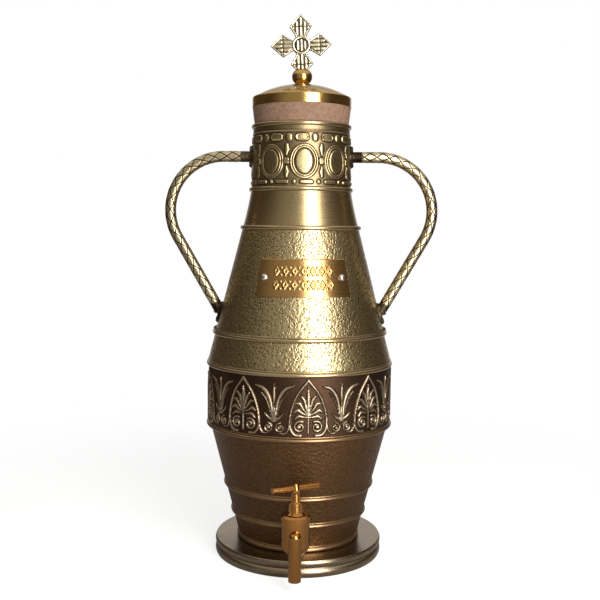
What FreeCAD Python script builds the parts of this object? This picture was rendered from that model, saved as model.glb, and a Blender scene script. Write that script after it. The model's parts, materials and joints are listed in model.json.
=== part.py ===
"""A footed brass chrism urn: hooped and banded vessel, two bow handles, corked lid and draw-off tap.

The origin is the centre of the foot's underside. +Z is up, the tap points along -Y and the handles lie
along X. Lengths are millimetres and angles are degrees.
"""

import FreeCAD, Part
import math
import os
import re

import Sketcher

SIZES = [
    ("sheet", 0.8, "thickness of the vessel's brass sheet"),
    ("solder_gap", 0.05, "solder film between pieces that are sweated together"),
    ("foot_radius", 77.4, "foot's rim where its rolls begin"),
    ("foot_height", 15.0, "top face of the foot"),
    ("foot_roll", 1.5, "how far each roll of the rim swells out"),
    ("foot_groove_height", 8.0, "groove between the two rolls"),
    ("foot_groove_depth", 0.9, "depth of that groove below the rim"),
    ("foot_side", 2.4, "thickness of the foot's rim"),
    ("foot_deck", 1.2, "thickness of the foot's top face"),
    ("foot_hole_radius", 48.0, "open middle of the foot's top face"),
    ("underplate", 1.2, "thickness of the plate that closes the foot"),
    ("lower_base_radius", 55.5, "lower wall where it stands on the foot"),
    ("lower_wall_height", 109.6, "foot's top to the belly band"),
    ("belly_radius", 85.4, "outside of the figured belly band"),
    ("belly_step", 2.21, "how far the belly band stands out past the lower wall"),
    ("belly_height", 56.5, "height of the belly band"),
    ("frieze_count", 9, "arches around the belly band"),
    ("frieze_angle", 6.6, "middle of the first arch, to the right of the tap"),
    ("frieze_rise", 0.9, "how far the frieze stands out of the belly band"),
    ("frieze_depth", 6.0, "depth of the blocks that the frieze is cut from"),
    ("arch_tip", 48.8, "point of the arches above the band's lower edge"),
    ("arch_widest", 17.0, "height at which the arches are widest"),
    ("arch_foot", 4.0, "foot of the arches"),
    ("arch_half", 16.9, "half the width of the arches"),
    ("arch_foot_half", 11.6, "half the width of their feet"),
    ("arch_side_swell", 4.6, "swell of the arches' sides"),
    ("arch_foot_swell", 1.8, "swell below the widest place"),
    ("arch_line", 1.8, "width of the arches' lines"),
    ("leaf_foot", 9.0, "foot of the middle leaf"),
    ("leaf_tip", 45.0, "tip of the middle leaf"),
    ("leaf_swell", 1.5, "half the width of the middle leaf"),
    ("fan_foot", 20.0, "where the side leaves begin"),
    ("fan_root", 2.0, "side leaves out from the middle line"),
    ("fan_tip_across", 11.0, "tip of the side leaves, across"),
    ("fan_tip", 32.4, "tip of the side leaves"),
    ("fan_hollow", 1.0, "hollow of the side leaves' lower edge"),
    ("fan_swell", 3.0, "swell of their upper edge"),
    ("lotus_foot", 17.0, "foot of the lotus"),
    ("lotus_tip", 48.0, "tip of the lotus's middle petal"),
    ("lotus_swell", 1.3, "half the width of that petal"),
    ("petal_root", 4.2, "side petals out from the middle line"),
    ("petal_foot", 19.5, "where the side petals begin"),
    ("petal_tip_across", 16.5, "tip of the side petals, across"),
    ("petal_tip", 46.5, "tip of the side petals"),
    ("petal_hollow", 4.6, "hollow of the side petals' lower edge"),
    ("petal_swell", 6.4, "swell of their upper edge"),
    ("lap", 4.0, "depth of the lap joints inside the belly band"),
    ("flare", 3.1, "height over which a wall flares out to its lap"),
    ("upper_step", 0.06, "how much narrower than the band the upper wall starts above it"),
    ("upper_hoop_rise", 28.9, "middle of that hoop above the belly band"),
    ("shoulder_radius", 54.0, "upper wall where the shoulder begins"),
    ("upper_wall_height", 124.9, "belly band's top to the shoulder's seam"),
    ("shoulder_hollow", 0.5, "how far the shoulder curves inwards"),
    ("neck_base_radius", 46.3, "foot of the figured neck band"),
    ("shoulder_rise", 34.9, "height of the shoulder"),
    ("mouth_radius", 44.5, "outside of the neck band at the mouth"),
    ("neck_length", 59.4, "neck's seam to the edge of the mouth"),
    ("hoop_height", 5.2, "height of a double-beaded hoop"),
    ("hoop_split", 3.7, "height of the hoop's main bead"),
    ("bead_rise", 1.7, "how far a main bead stands out"),
    ("thin_bead_rise", 0.5, "how far a thin bead stands out"),
    ("bead_neck", 0.25, "metal left in the crease between two beads"),
    ("single_hoop_height", 4.2, "height of the single beads of neck and mouth"),
    ("base_hoop_height", 5.6, "height of the hoop on the foot"),
    ("first_hoop_height", 41.3, "middle of the first hoop of the lower wall"),
    ("second_hoop_height", 67.5, "middle of the second hoop of the lower wall"),
    ("handle_drop", 28.8, "upper run of the handles below the mouth"),
    ("handle_run", 26.6, "neck's wall to where the upper run begins to bend"),
    ("handle_bend", 50.0, "radius of the handle's bow"),
    ("handle_sweep", 120.0, "angle of the handle's bow"),
    ("handle_spare", 2.5, "how far the lower leg runs past its seat before trimming"),
    ("handle_rod", 5.2, "radius of the handle's rod"),
    ("rosette_radius", 10.5, "round plates at the handle's ends"),
    ("rosette_depth", 2.0, "thickness of those plates"),
    ("screw_radius", 2.0, "handle screws"),
    ("screw_head_radius", 3.6, "heads of the handle screws"),
    ("screw_head", 2.2, "thickness of those heads"),
    ("screw_reach", 7.0, "length of screw outside the wall"),
    ("screw_clearance", 0.1, "room around a screw"),
    ("screw_seat", 0.3, "gap under a flat screw head on the curved wall"),
    ("plate_angle", 3.9, "how far the nameplate sits to the right of the tap"),
    ("plate_sweep", 73.0, "angle that the nameplate covers"),
    ("plate_rise", 36.0, "lower edge of the nameplate above the upper wall's hoop"),
    ("plate_height", 33.0, "height of the nameplate"),
    ("plate_sheet", 0.8, "thickness of the nameplate"),
    ("rivet_angle", 31.0, "angle from the nameplate's middle to a rivet"),
    ("rivet_radius", 1.5, "shank of a rivet"),
    ("rivet_head_radius", 3.2, "round head of a rivet"),
    ("rivet_head", 2.2, "height of that head"),
    ("rivet_crown", 0.5, "small flat on top of the head"),
    ("rivet_clearance", 0.1, "room around a rivet"),
    ("cork_clearance", 0.25, "room between cork and mouth"),
    ("cork_taper", 0.125, "radius that the cork gains per height"),
    ("cork_depth", 18.3, "depth of the cork in the neck"),
    ("cork_stand", 15.7, "height of the cork above the mouth"),
    ("cork_edge", 1.2, "bevel of the cork's edges"),
    ("lid_radius", 45.8, "outside of the lid"),
    ("lid_rim", 7.6, "height of the lid's upright rim"),
    ("lid_round", 1.7, "rounding between rim and dome"),
    ("lid_dome", 11.7, "rise of the dome"),
    ("lid_sheet", 1.0, "thickness of the lid"),
    ("knop_waist", 6.2, "radius of the knop's waist"),
    ("knop_height", 14.4, "height of the knop"),
    ("knop_swell", 3.9, "how far the knop swells past its ends"),
    ("knop_crown", 5.0, "radius of the knop's flat top"),
    ("rod_radius", 2.5, "stopper rod"),
    ("rod_clearance", 0.05, "room around the stopper rod"),
    ("rod_end", 8.0, "depth of the rod inside the knop"),
    ("washer_radius", 9.0, "washer under the cork"),
    ("washer", 1.4, "thickness of that washer"),
    ("stopper_nut_radius", 5.2, "nut under the cork, across its corners"),
    ("stopper_nut", 4.0, "thickness of that nut"),
    ("cross_angle", 2.8, "how far the cross leans to the left"),
    ("cross_rise", 21.7, "middle of the cross above the knop"),
    ("cross_arm", 28.0, "length of an arm"),
    ("cross_barb", 17.2, "widest place of an arm, from the middle"),
    ("cross_barb_half", 10.3, "half width there"),
    ("cross_root_half", 5.7, "half width where the arm leaves the ring"),
    ("cross_root", 8.3, "place of that root, from the middle"),
    ("cross_boss", 8.6, "radius of the ring in the middle"),
    ("cross_thick", 2.8, "thickness of the arms"),
    ("cross_boss_thick", 4.4, "thickness of the ring"),
    ("cross_seat", 0.3, "gap under the cross"),
    ("tenon_radius", 1.6, "tenon of the cross"),
    ("tenon_depth", 4.5, "depth of the tenon inside the knop"),
    ("tenon_clearance", 0.3, "room around the leaning tenon"),
    ("tap_height", 46.0, "water way of the tap"),
    ("tap_stand_off", 33.8, "tap's barrel axis out from the wall"),
    ("barrel_radius", 12.0, "outside of the barrel"),
    ("barrel_collar", 12.6, "outside of the barrel's collar"),
    ("barrel_drop", 15.0, "underside of the barrel below the water way"),
    ("barrel_rise", 18.4, "top face of the barrel above the water way"),
    ("barrel_base_radius", 8.4, "underside radius of the barrel"),
    ("barrel_bevel", 1.6, "bevel of the barrel's top edge"),
    ("collar_height", 4.6, "height of the barrel's collar"),
    ("barrel_round", 9.0, "height over which the barrel rounds in"),
    ("plug_top_radius", 8.0, "tapered plug at the barrel's top"),
    ("plug_bottom_radius", 6.2, "tapered plug at the barrel's underside"),
    ("plug_clearance", 0.06, "running clearance around the plug"),
    ("plug_lift", 0.2, "gap above the barrel and under the plug's shoulder"),
    ("waterway", 3.0, "radius of the water way"),
    ("shank_radius", 6.5, "threaded shank through the wall"),
    ("shank_collar", 9.0, "collar of the shank"),
    ("shank_clearance", 0.15, "room around the shank"),
    ("shank_spare", 1.8, "shank past its nut"),
    ("gasket", 1.0, "thickness of the wall gaskets"),
    ("gasket_radius", 10.5, "wall gaskets"),
    ("saddle_radius", 11.5, "saddles that fit the curved wall"),
    ("saddle_depth", 6.4, "flat face of the outer saddle out from the wall"),
    ("inner_saddle_depth", 6.0, "flat face of the inner saddle in from the wall"),
    ("lock_nut_radius", 10.4, "lock nut, across its corners"),
    ("lock_nut", 5.0, "thickness of the lock nut"),
    ("spout_reach", 13.4, "spout's axis from the barrel's axis"),
    ("spout_radius", 5.4, "outside of the spout"),
    ("spout_bore", 3.8, "bore of the spout"),
    ("spout_drop", 35.2, "end of the spout below the water way"),
    ("spout_rise", 6.5, "round top of the spout above the water way"),
    ("spout_round", 4.4, "rounding of that top"),
    ("outlet_spare", 1.0, "bore of the spout past the water way"),
    ("key_angle", 26.0, "how far the key is turned at rest"),
    ("key_skirt", 8.5, "skirt of the key over the barrel"),
    ("key_skirt_height", 1.8, "height of the skirt"),
    ("key_cone_radius", 6.3, "foot of the key's cone"),
    ("key_cone_top", 5.5, "top of the key's cone"),
    ("key_cone_height", 9.6, "top of the cone above the barrel"),
    ("key_neck_radius", 4.2, "neck of the key"),
    ("key_collar_height", 1.3, "height of the collar above the key's cone"),
    ("key_neck_height", 17.6, "top of the neck above the barrel"),
    ("key_head_swell", 0.9, "how far the round head swells"),
    ("bar_height", 22.0, "cross bar above the barrel"),
    ("key_head_height", 25.9, "top of the head above the barrel"),
    ("bar_radius", 2.8, "cross bar"),
    ("bar_length", 43.4, "length of the cross bar"),
    ("bar_clearance", 0.05, "room around the cross bar"),
    ("stud_radius", 3.0, "threaded end of the plug"),
    ("key_washer_radius", 7.0, "washer under the barrel"),
    ("key_washer", 1.2, "thickness of that washer"),
    ("key_nut_radius", 5.2, "nut under the barrel, across its corners"),
    ("key_nut", 4.0, "thickness of that nut"),
    ("stud_spare", 0.9, "stud past its nut"),
]
NAMES = {alias for alias, _, _ in SIZES}
PLACES = {
    "belly_bottom": "(foot_height + lower_wall_height)",
    "belly_top": "(belly_bottom + belly_height)",
    "upper_hoop_height": "(belly_top + upper_hoop_rise)",
    "shoulder_height": "(belly_top + upper_wall_height)",
    "neck_height": "(shoulder_height + shoulder_rise)",
    "mouth_height": "(neck_height + neck_length)",
    "handle_height": "(mouth_height - handle_drop)",
    "plate_bottom": "(upper_hoop_height + plate_rise)",
    "plate_top": "(plate_bottom + plate_height)",
    "cork_bottom": "(mouth_height - cork_depth)",
    "cork_top": "(mouth_height + cork_stand)",
    "barrel_bottom": "(tap_height - barrel_drop)",
    "barrel_top": "(tap_height + barrel_rise)",
    "spout_bottom": "(tap_height - spout_drop)",
    "spout_top": "(tap_height + spout_rise)",
}
POINT_KINDS = {"start": 1, "end": 2, "centre": 3}

DOC = FreeCAD.newDocument("chrism_urn")
SHEET = DOC.addObject("Spreadsheet::Sheet", "Sizes")
for row, (alias, number, meaning) in enumerate(SIZES, start=1):
    SHEET.set(f"A{row}", meaning)
    SHEET.set(f"B{row}", str(number))
    SHEET.setAlias(f"B{row}", alias)
DOC.recompute()

PARTS = []


def from_sizes(expression):
    """The expression with each place written out in the sheet's own names."""
    text = str(expression)
    while set(re.findall(r"[a-z]\w*", text)) & set(PLACES):
        text = re.sub(r"[a-z]\w*", lambda m: PLACES.get(m[0], m[0]), text)
    return text


def bound(expression):
    """The expression with each of the sheet's names written in full."""
    named = from_sizes(expression)
    return re.sub(r"[a-z]\w*", lambda m: f"Sizes.{m[0]}" if m[0] in NAMES else m[0], named)


def size(expression):
    """The number that an expression over the sheet's names comes to."""
    return float(SHEET.evalExpression(from_sizes(expression)))


def keep(piece, label):
    """Gives a finished sub-part the label that names its file."""
    piece.Label = label
    PARTS.append(piece)
    return piece


# Walls as radius over height

LIP_RADIUS = "(belly_radius - sheet - solder_gap)"
LOWER_FLARE = "(belly_bottom - flare)"
UPPER_FLARE = "(belly_top + flare)"
UPPER_INSET = f"((belly_radius - upper_step - shoulder_radius) / (shoulder_height - {UPPER_FLARE}))"


def lower_wall_radius(height):
    """Outside of the lower wall, a cone from the foot to just below the belly band."""
    return (
        f"(lower_base_radius + (belly_radius - belly_step - lower_base_radius)"
        f" * ({height} - foot_height) / (lower_wall_height - flare))"
    )


def upper_wall_radius(height):
    """Outside of the upper wall, a cone from just above the belly band to the shoulder's seam."""
    return f"(shoulder_radius + {UPPER_INSET} * (shoulder_height - {height}))"


def neck_wall_radius(height):
    """Outside of the neck band."""
    return (
        f"(neck_base_radius + (mouth_radius - neck_base_radius)"
        f" * ({height} - neck_height) / (mouth_height - neck_height))"
    )


UPPER_TILT = math.degrees(math.atan(size(UPPER_INSET)))


# Sketches and turned pieces

def plane_of(body, role):
    """One of a body's own origin planes."""
    return next(f for f in body.Origin.OriginFeatures if f.Role == role)


def sketch_in(body, name, role, offset=(0, 0, 0)):
    """A sketch on an origin plane, moved by an offset along the sketch's own axes."""
    sketch = body.newObject("Sketcher::SketchObject", name)
    sketch.AttachmentSupport = [(plane_of(body, role), "")]
    sketch.MapMode = "FlatFace"
    for axis, distance in zip("xyz", offset):
        if distance:
            sketch.setExpression(f"AttachmentOffset.Base.{axis}", bound(distance))
    return sketch


def arc_between(start, end, rise):
    """A shallow arc that swells to the right of the way from start to end, or left if rise is negative."""
    along = end.sub(start)
    chord = along.Length
    swell = abs(rise)
    radius = (chord**2 / 4 + swell**2) / (2 * swell)
    right = FreeCAD.Vector(along.y, -along.x, 0).normalize()
    outwards = right if rise > 0 else right.negative()
    centre = start.add(end).multiply(0.5).sub(outwards.multiply(radius - swell))
    first = start if rise > 0 else end
    last = end if rise > 0 else start
    angles = [math.atan2(p.y - centre.y, p.x - centre.x) for p in (first, last)]
    circle = Part.Circle(centre, FreeCAD.Vector(0, 0, 1), radius)
    return Part.ArcOfCircle(circle, angles[0], angles[1])


def draw(sketch, outline, closed=True):
    """Draws an outline of (across, up) or (across, up, rise) expressions; a rise bends the next edge."""
    corners = [FreeCAD.Vector(size(p[0]), size(p[1]), 0) for p in outline]
    count = len(outline) if closed else len(outline) - 1
    forwards = (POINT_KINDS["start"], POINT_KINDS["end"])
    ends = []
    for i in range(count):
        start, end = corners[i], corners[(i + 1) % len(corners)]
        if len(outline[i]) == 3:
            rise = size(outline[i][2])
            sketch.addGeometry(arc_between(start, end, rise), False)
            ends.append(forwards if rise > 0 else forwards[::-1])
        else:
            sketch.addGeometry(Part.LineSegment(start, end), False)
            ends.append(forwards)
    for i in range(count if closed else count - 1):
        after = (i + 1) % count
        joint = Sketcher.Constraint("Coincident", i, ends[i][1], after, ends[after][0])
        sketch.addConstraint(joint)
    for i, point in enumerate(outline):
        edge, spot = (i, ends[i][0]) if i < count else (i - 1, ends[i - 1][1])
        for kind, axis, value in (("DistanceX", -2, point[0]), ("DistanceY", -1, point[1])):
            if value == "0":
                sketch.addConstraint(Sketcher.Constraint("PointOnObject", edge, spot, axis))
                continue
            here = corners[i].x if kind == "DistanceX" else corners[i].y
            index = sketch.addConstraint(Sketcher.Constraint(kind, edge, spot, here))
            sketch.setExpression(f"Constraints[{index}]", bound(value))
    for i in range(count):
        if len(outline[i]) < 3:
            continue
        (x0, y0, rise), (x1, y1) = outline[i], outline[(i + 1) % len(outline)][:2]
        swell = f"abs({rise})"
        chord = f"((({x1}) - ({x0}))^2 + (({y1}) - ({y0}))^2)"
        bend = sketch.addConstraint(Sketcher.Constraint("Radius", i, sketch.Geometry[i].Radius))
        sketch.setExpression(f"Constraints[{bend}]", bound(f"({chord} / 4 + {swell}^2) / (2 * {swell})"))
    return sketch


def cap_rise(radius, height):
    """Rise of the arc from the rim to the top of a round cap of that radius and height."""
    across = f"(({radius})^2 + ({height})^2)"
    ball = f"({across} / (2 * ({height})))"
    return f"({ball} - sqrt({ball}^2 - {across} / 4))"


def circle_in(sketch, across, up, radius):
    """Adds a circle, its centre and radius given as expressions."""
    centre = FreeCAD.Vector(size(across), size(up), 0)
    edge = sketch.addGeometry(Part.Circle(centre, FreeCAD.Vector(0, 0, 1), size(radius)), False)
    for kind, value, here in (("DistanceX", across, centre.x), ("DistanceY", up, centre.y)):
        if value == "0":
            axis = -2 if kind == "DistanceX" else -1
            sketch.addConstraint(Sketcher.Constraint("PointOnObject", edge, POINT_KINDS["centre"], axis))
            continue
        index = sketch.addConstraint(Sketcher.Constraint(kind, edge, POINT_KINDS["centre"], here))
        sketch.setExpression(f"Constraints[{index}]", bound(value))
    index = sketch.addConstraint(Sketcher.Constraint("Radius", edge, size(radius)))
    sketch.setExpression(f"Constraints[{index}]", bound(radius))
    return sketch


def turn(body, outline, name="Turning", feature="PartDesign::Revolution", role="XZ_Plane"):
    """Turns an outline of (radius, height) about the body's upright axis, adding or cutting metal."""
    sketch = draw(sketch_in(body, f"{name}Outline", role), outline)
    turned = body.newObject(feature, name)
    turned.Profile = sketch
    turned.ReferenceAxis = (sketch, ["V_Axis"])
    turned.Angle = 360
    sketch.Visibility = False
    return turned


def turned_body(name, outline):
    """A body made by one turning."""
    body = DOC.addObject("PartDesign::Body", name)
    turn(body, outline)
    return body


def extrude(body, sketch, feature, length, name, reverse=False, midplane=False):
    """A pad or pocket whose depth is an expression."""
    made = body.newObject(feature, name)
    made.Profile = sketch
    made.setExpression("Length", bound(length))
    made.Reversed = reverse
    made.Midplane = midplane
    sketch.Visibility = False
    return made


def cylinder(name, radius, height):
    """A plain upright cylinder."""
    made = DOC.addObject("Part::Cylinder", name)
    made.setExpression("Radius", bound(radius))
    made.setExpression("Height", bound(height))
    return made


def cone(name, low_radius, high_radius, bottom, top):
    """A cone on the vessel's axis between two heights."""
    made = DOC.addObject("Part::Cone", name)
    made.setExpression("Radius1", bound(low_radius))
    made.setExpression("Radius2", bound(high_radius))
    made.setExpression("Height", bound(f"{top} - {bottom}"))
    made.setExpression("Placement.Base.z", bound(bottom))
    return made


def cut(name, base, tool):
    """The base without the tool."""
    made = DOC.addObject("Part::Cut", name)
    made.Base = base
    made.Tool = tool
    return made


def common(name, first, second):
    """What two shapes share."""
    made = DOC.addObject("Part::Common", name)
    made.Base = first
    made.Tool = second
    return made


def group(name, pieces):
    """Several separate solids as one object."""
    made = DOC.addObject("Part::Compound", name)
    made.Links = pieces
    return made


def mirrored(name, piece):
    """The same piece on the other side of the vessel."""
    made = DOC.addObject("Part::Mirroring", name)
    made.Source = piece
    made.Normal = (1, 0, 0)
    made.Base = (0, 0, 0)
    return made


def face_out(piece, azimuth, radius, height, tilt, depth=0.0):
    """Stands a piece's upright axis square to a wall, azimuth degrees right of the tap, depth inwards."""
    around, lean = math.radians(azimuth), math.radians(tilt)
    out = FreeCAD.Vector(
        math.sin(around) * math.cos(lean), -math.cos(around) * math.cos(lean), math.sin(lean)
    )
    foot = FreeCAD.Vector(math.sin(around) * radius, -math.cos(around) * radius, height)
    turned = FreeCAD.Rotation(FreeCAD.Vector(0, 0, 1), out)
    piece.Placement = FreeCAD.Placement(foot - out * depth, turned)
    return piece


# Foot

def make_foot():
    """Spun foot with two rolls and a groove, open in the middle of its top."""
    inner = "foot_radius - foot_side"
    outline = [
        (inner, "0"),
        ("foot_radius", "0", "foot_roll"),
        ("foot_radius - foot_groove_depth", "foot_groove_height", "foot_roll"),
        ("foot_radius", "foot_height"),
        ("foot_hole_radius", "foot_height"),
        ("foot_hole_radius", "foot_height - foot_deck"),
        (inner, "foot_height - foot_deck"),
    ]
    keep(turned_body("Foot", outline), "foot")
    plate_radius = "foot_radius - foot_side - solder_gap"
    plate = [("0", "0"), (plate_radius, "0"), (plate_radius, "underplate"), ("0", "underplate")]
    keep(turned_body("FootUnderplate", plate), "foot_underplate")


# Vessel walls

def make_vessel_bottom():
    """Flat disc soldered inside the foot of the lower wall."""
    low, high = "foot_height + solder_gap", "foot_height + solder_gap + sheet"
    edge = f"{lower_wall_radius(low)} - sheet - solder_gap"
    outline = [("0", low), (edge, low), (edge, high), ("0", high)]
    keep(turned_body("VesselBottom", outline), "vessel_bottom")


def make_lower_wall():
    """Cone from the foot to the belly, flared into a lap, with the hole for the tap's shank."""
    low = "foot_height + solder_gap"
    radius_low, radius_high = lower_wall_radius(low), lower_wall_radius(LOWER_FLARE)
    outline = [
        (f"{radius_low} - sheet", low),
        (radius_low, low),
        (radius_high, LOWER_FLARE),
        (LIP_RADIUS, "belly_bottom"),
        (LIP_RADIUS, "belly_bottom + lap"),
        (f"{LIP_RADIUS} - sheet", "belly_bottom + lap"),
        (f"{LIP_RADIUS} - sheet", "belly_bottom"),
        (f"{radius_high} - sheet", LOWER_FLARE),
    ]
    body = turned_body("LowerWall", outline)
    outline = sketch_in(body, "ShankHole", "XZ_Plane")
    hole = circle_in(outline, "0", "tap_height", "shank_radius + shank_clearance")
    extrude(body, hole, "PartDesign::Pocket", "belly_radius", "ShankPocket", reverse=True)
    keep(body, "lower_wall")


def make_belly_band():
    """Upright band that carries the large frieze."""
    outline = [
        ("belly_radius - sheet", "belly_bottom"),
        ("belly_radius", "belly_bottom"),
        ("belly_radius", "belly_top"),
        ("belly_radius - sheet", "belly_top"),
    ]
    keep(turned_body("BellyBand", outline), "belly_band")


def raised_block(name, outline):
    """A block with the outline's shape that reaches through the belly band's face at the tap."""
    body = DOC.addObject("PartDesign::Body", name)
    sketch = sketch_in(body, f"{name}Outline", "XZ_Plane", (0, 0, "belly_radius - frieze_depth"))
    placed = [(across, f"belly_bottom + {up}", *rest) for across, up, *rest in outline]
    extrude(body, draw(sketch, placed), "PartDesign::Pad", "frieze_depth * 2", f"{name}Pad")
    return body


def pointed_arch(name, inset):
    """A pointed arch with swelling sides, its outline moved in by the inset."""
    half, foot_half = f"(arch_half - {inset})", f"(arch_foot_half - {inset})"
    tip, foot = f"(arch_tip - {inset} * 2)", f"(arch_foot + {inset})"
    return raised_block(
        name,
        [
            ("0", tip, "arch_side_swell"),
            (f"0 - {half}", "arch_widest", "arch_foot_swell"),
            (f"0 - {foot_half}", foot),
            (foot_half, foot, "arch_foot_swell"),
            (half, "arch_widest", "arch_side_swell"),
        ],
    )


def spear(name, foot, tip, swell):
    """An upright leaf, pointed at both ends."""
    return raised_block(name, [("0", foot, swell), ("0", tip, swell)])


def crescents(name, root, foot, across, tip, hollow, swell):
    """A pair of leaves that rise and bend outwards, one on each side of the middle line."""
    right = [(root, foot, f"0 - {hollow}"), (across, tip, swell)]
    left = [(f"0 - {root}", foot, hollow), (f"0 - {across}", tip, f"0 - {swell}")]
    return [raised_block(f"{name}Right", right), raised_block(f"{name}Left", left)]


def make_belly_frieze():
    """Raised arches with leaves, and a three-petalled lotus between each two."""
    outer = cylinder("FriezeOuter", "belly_radius + frieze_rise", "belly_height")
    inner = cylinder("FriezeInner", "belly_radius + solder_gap", "belly_height")
    for tube in (outer, inner):
        tube.setExpression("Placement.Base.z", bound("belly_bottom"))
    skin = cut("FriezeSkin", outer, inner)
    arch = cut("ArchLine", pointed_arch("ArchOuter", "0"), pointed_arch("ArchInner", "arch_line"))
    fan = ("fan_root", "fan_foot", "fan_tip_across", "fan_tip", "fan_hollow", "fan_swell")
    petals = ("petal_root", "petal_foot", "petal_tip_across", "petal_tip", "petal_hollow", "petal_swell")
    motifs = {
        "Palmette": [arch, spear("PalmetteLeaf", "leaf_foot", "leaf_tip", "leaf_swell")]
        + crescents("PalmetteFan", *fan),
        "Lotus": [spear("LotusPetal", "lotus_foot", "lotus_tip", "lotus_swell")]
        + crescents("LotusSide", *petals),
    }
    ring = []
    for share, (name, blocks) in enumerate(motifs.items()):
        motif = group(name, [common(f"{block.Name}Raised", block, skin) for block in blocks])
        for step in range(int(size("frieze_count"))):
            turned = DOC.addObject("App::Link", f"{name}{step}")
            turned.LinkedObject = motif
            turned.LinkTransform = True
            turned.Placement.Rotation.Axis = FreeCAD.Vector(0, 0, 1)
            angle = f"frieze_angle + 360 * ({step} + {share} / 2) / frieze_count"
            turned.setExpression("Placement.Rotation.Angle", bound(angle))
            ring.append(turned)
    keep(group("BellyFrieze", ring), "belly_frieze")


def make_upper_wall(tools):
    """Long cone above the belly, bored for the lower handle screws and the rivets."""
    seam = "shoulder_height - solder_gap"
    flare = upper_wall_radius(UPPER_FLARE)
    outline = [
        (f"{LIP_RADIUS} - sheet", "belly_top - lap"),
        (LIP_RADIUS, "belly_top - lap"),
        (LIP_RADIUS, "belly_top"),
        (flare, UPPER_FLARE),
        (upper_wall_radius(seam), seam),
        (f"{upper_wall_radius(seam)} - sheet", seam),
        (f"{flare} - sheet", UPPER_FLARE),
        (f"{LIP_RADIUS} - sheet", "belly_top"),
    ]
    keep(cut("UpperWall", turned_body("UpperCone", outline), tools), "upper_wall")


def make_shoulder_wall():
    """Smooth waisted ring between the upper wall and the neck."""
    top = "neck_height - solder_gap"
    outline = [
        ("shoulder_radius - sheet", "shoulder_height"),
        ("shoulder_radius", "shoulder_height", "0 - shoulder_hollow"),
        ("neck_base_radius", top),
        ("neck_base_radius - sheet", top, "shoulder_hollow"),
    ]
    keep(turned_body("ShoulderWall", outline), "shoulder_wall")


def make_neck_band():
    """Neck that carries the medallion frieze, bored on both sides for the upper handle screws."""
    outline = [
        ("neck_base_radius - sheet", "neck_height"),
        ("neck_base_radius", "neck_height"),
        ("mouth_radius", "mouth_height"),
        ("mouth_radius - sheet", "mouth_height"),
    ]
    body = turned_body("NeckBand", outline)
    hole = circle_in(
        sketch_in(body, "ScrewHoles", "YZ_Plane"), "0", "handle_height", "screw_radius + screw_clearance"
    )
    extrude(body, hole, "PartDesign::Pocket", "neck_base_radius * 2 + lap", "ScrewPocket", midplane=True)
    keep(body, "neck_band")


# Hoops

def double_hoop(name, bottom, height, radius):
    """A hoop of one broad and one thin bead round a wall whose radius is a function of height."""
    split = f"{bottom} + {height} * hoop_split / hoop_height"
    top = f"{bottom} + {height}"
    outline = [
        (f"{radius(bottom)} + solder_gap", bottom, "bead_rise"),
        (f"{radius(split)} + solder_gap + bead_neck", split, "thin_bead_rise"),
        (f"{radius(top)} + solder_gap", top),
    ]
    return turned_body(name, outline)


def single_hoop(name, label, bottom, top, low_radius, high_radius):
    """A hoop of one bead."""
    outline = [
        (f"{low_radius} + solder_gap", bottom, "bead_rise"),
        (f"{high_radius} + solder_gap", top),
    ]
    keep(turned_body(name, outline), label)


def belly_radius_at(height):
    return "belly_radius"


def notch_for_tap(hoop):
    """The hoop cut open where the tap's saddle stands on the wall."""
    saddle = cylinder("SaddleNotch", "saddle_radius + rivet_clearance * 3", "saddle_radius * 4")
    facing_tap(saddle, size(f"{TAP_WALL} - saddle_radius * 2"))
    return cut("NotchedHoop", hoop, saddle)


def make_hoops():
    """Every hoop from the foot to the mouth."""
    base = double_hoop("BaseHoop", "(foot_height + solder_gap)", "base_hoop_height", lower_wall_radius)
    keep(base, "base_hoop")
    hoops = [
        ("lower_hoop_first", "first_hoop_height", lower_wall_radius),
        ("lower_hoop_second", "second_hoop_height", lower_wall_radius),
        ("belly_hoop_bottom", "belly_bottom", belly_radius_at),
        ("belly_hoop_top", "belly_top", belly_radius_at),
        ("upper_hoop", "upper_hoop_height", upper_wall_radius),
    ]
    for label, middle, radius in hoops:
        hoop = double_hoop(f"{label}_ring", f"({middle} - hoop_height / 2)", "hoop_height", radius)
        keep(notch_for_tap(hoop) if label == "lower_hoop_first" else hoop, label)
    half = "single_hoop_height / 2"
    low, high = f"(shoulder_height - {half})", f"(shoulder_height + {half})"
    single_hoop("ShoulderHoop", "shoulder_hoop", low, high, upper_wall_radius(low), upper_wall_radius(low))
    low, high = f"(neck_height - {half})", f"(neck_height + {half})"
    widening = f"((shoulder_radius - neck_base_radius) * {half} / shoulder_rise)"
    wide = f"(neck_base_radius + {widening})"
    single_hoop("NeckHoop", "neck_hoop", low, high, wide, "neck_base_radius")
    low = "(mouth_height - single_hoop_height)"
    single_hoop("MouthRing", "mouth_ring", low, "mouth_height", neck_wall_radius(low), "mouth_radius")


# Handles

def screw(name, reach_in):
    """A pan-headed screw along its own axis, its head's underside at the origin."""
    body = turned_body(
        name,
        [
            ("0", "0 - screw_head"),
            ("screw_head_radius", "0 - screw_head"),
            ("screw_head_radius", "0"),
            ("screw_radius", "0"),
            ("screw_radius", reach_in),
            ("0", reach_in),
        ],
    )
    return body


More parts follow.
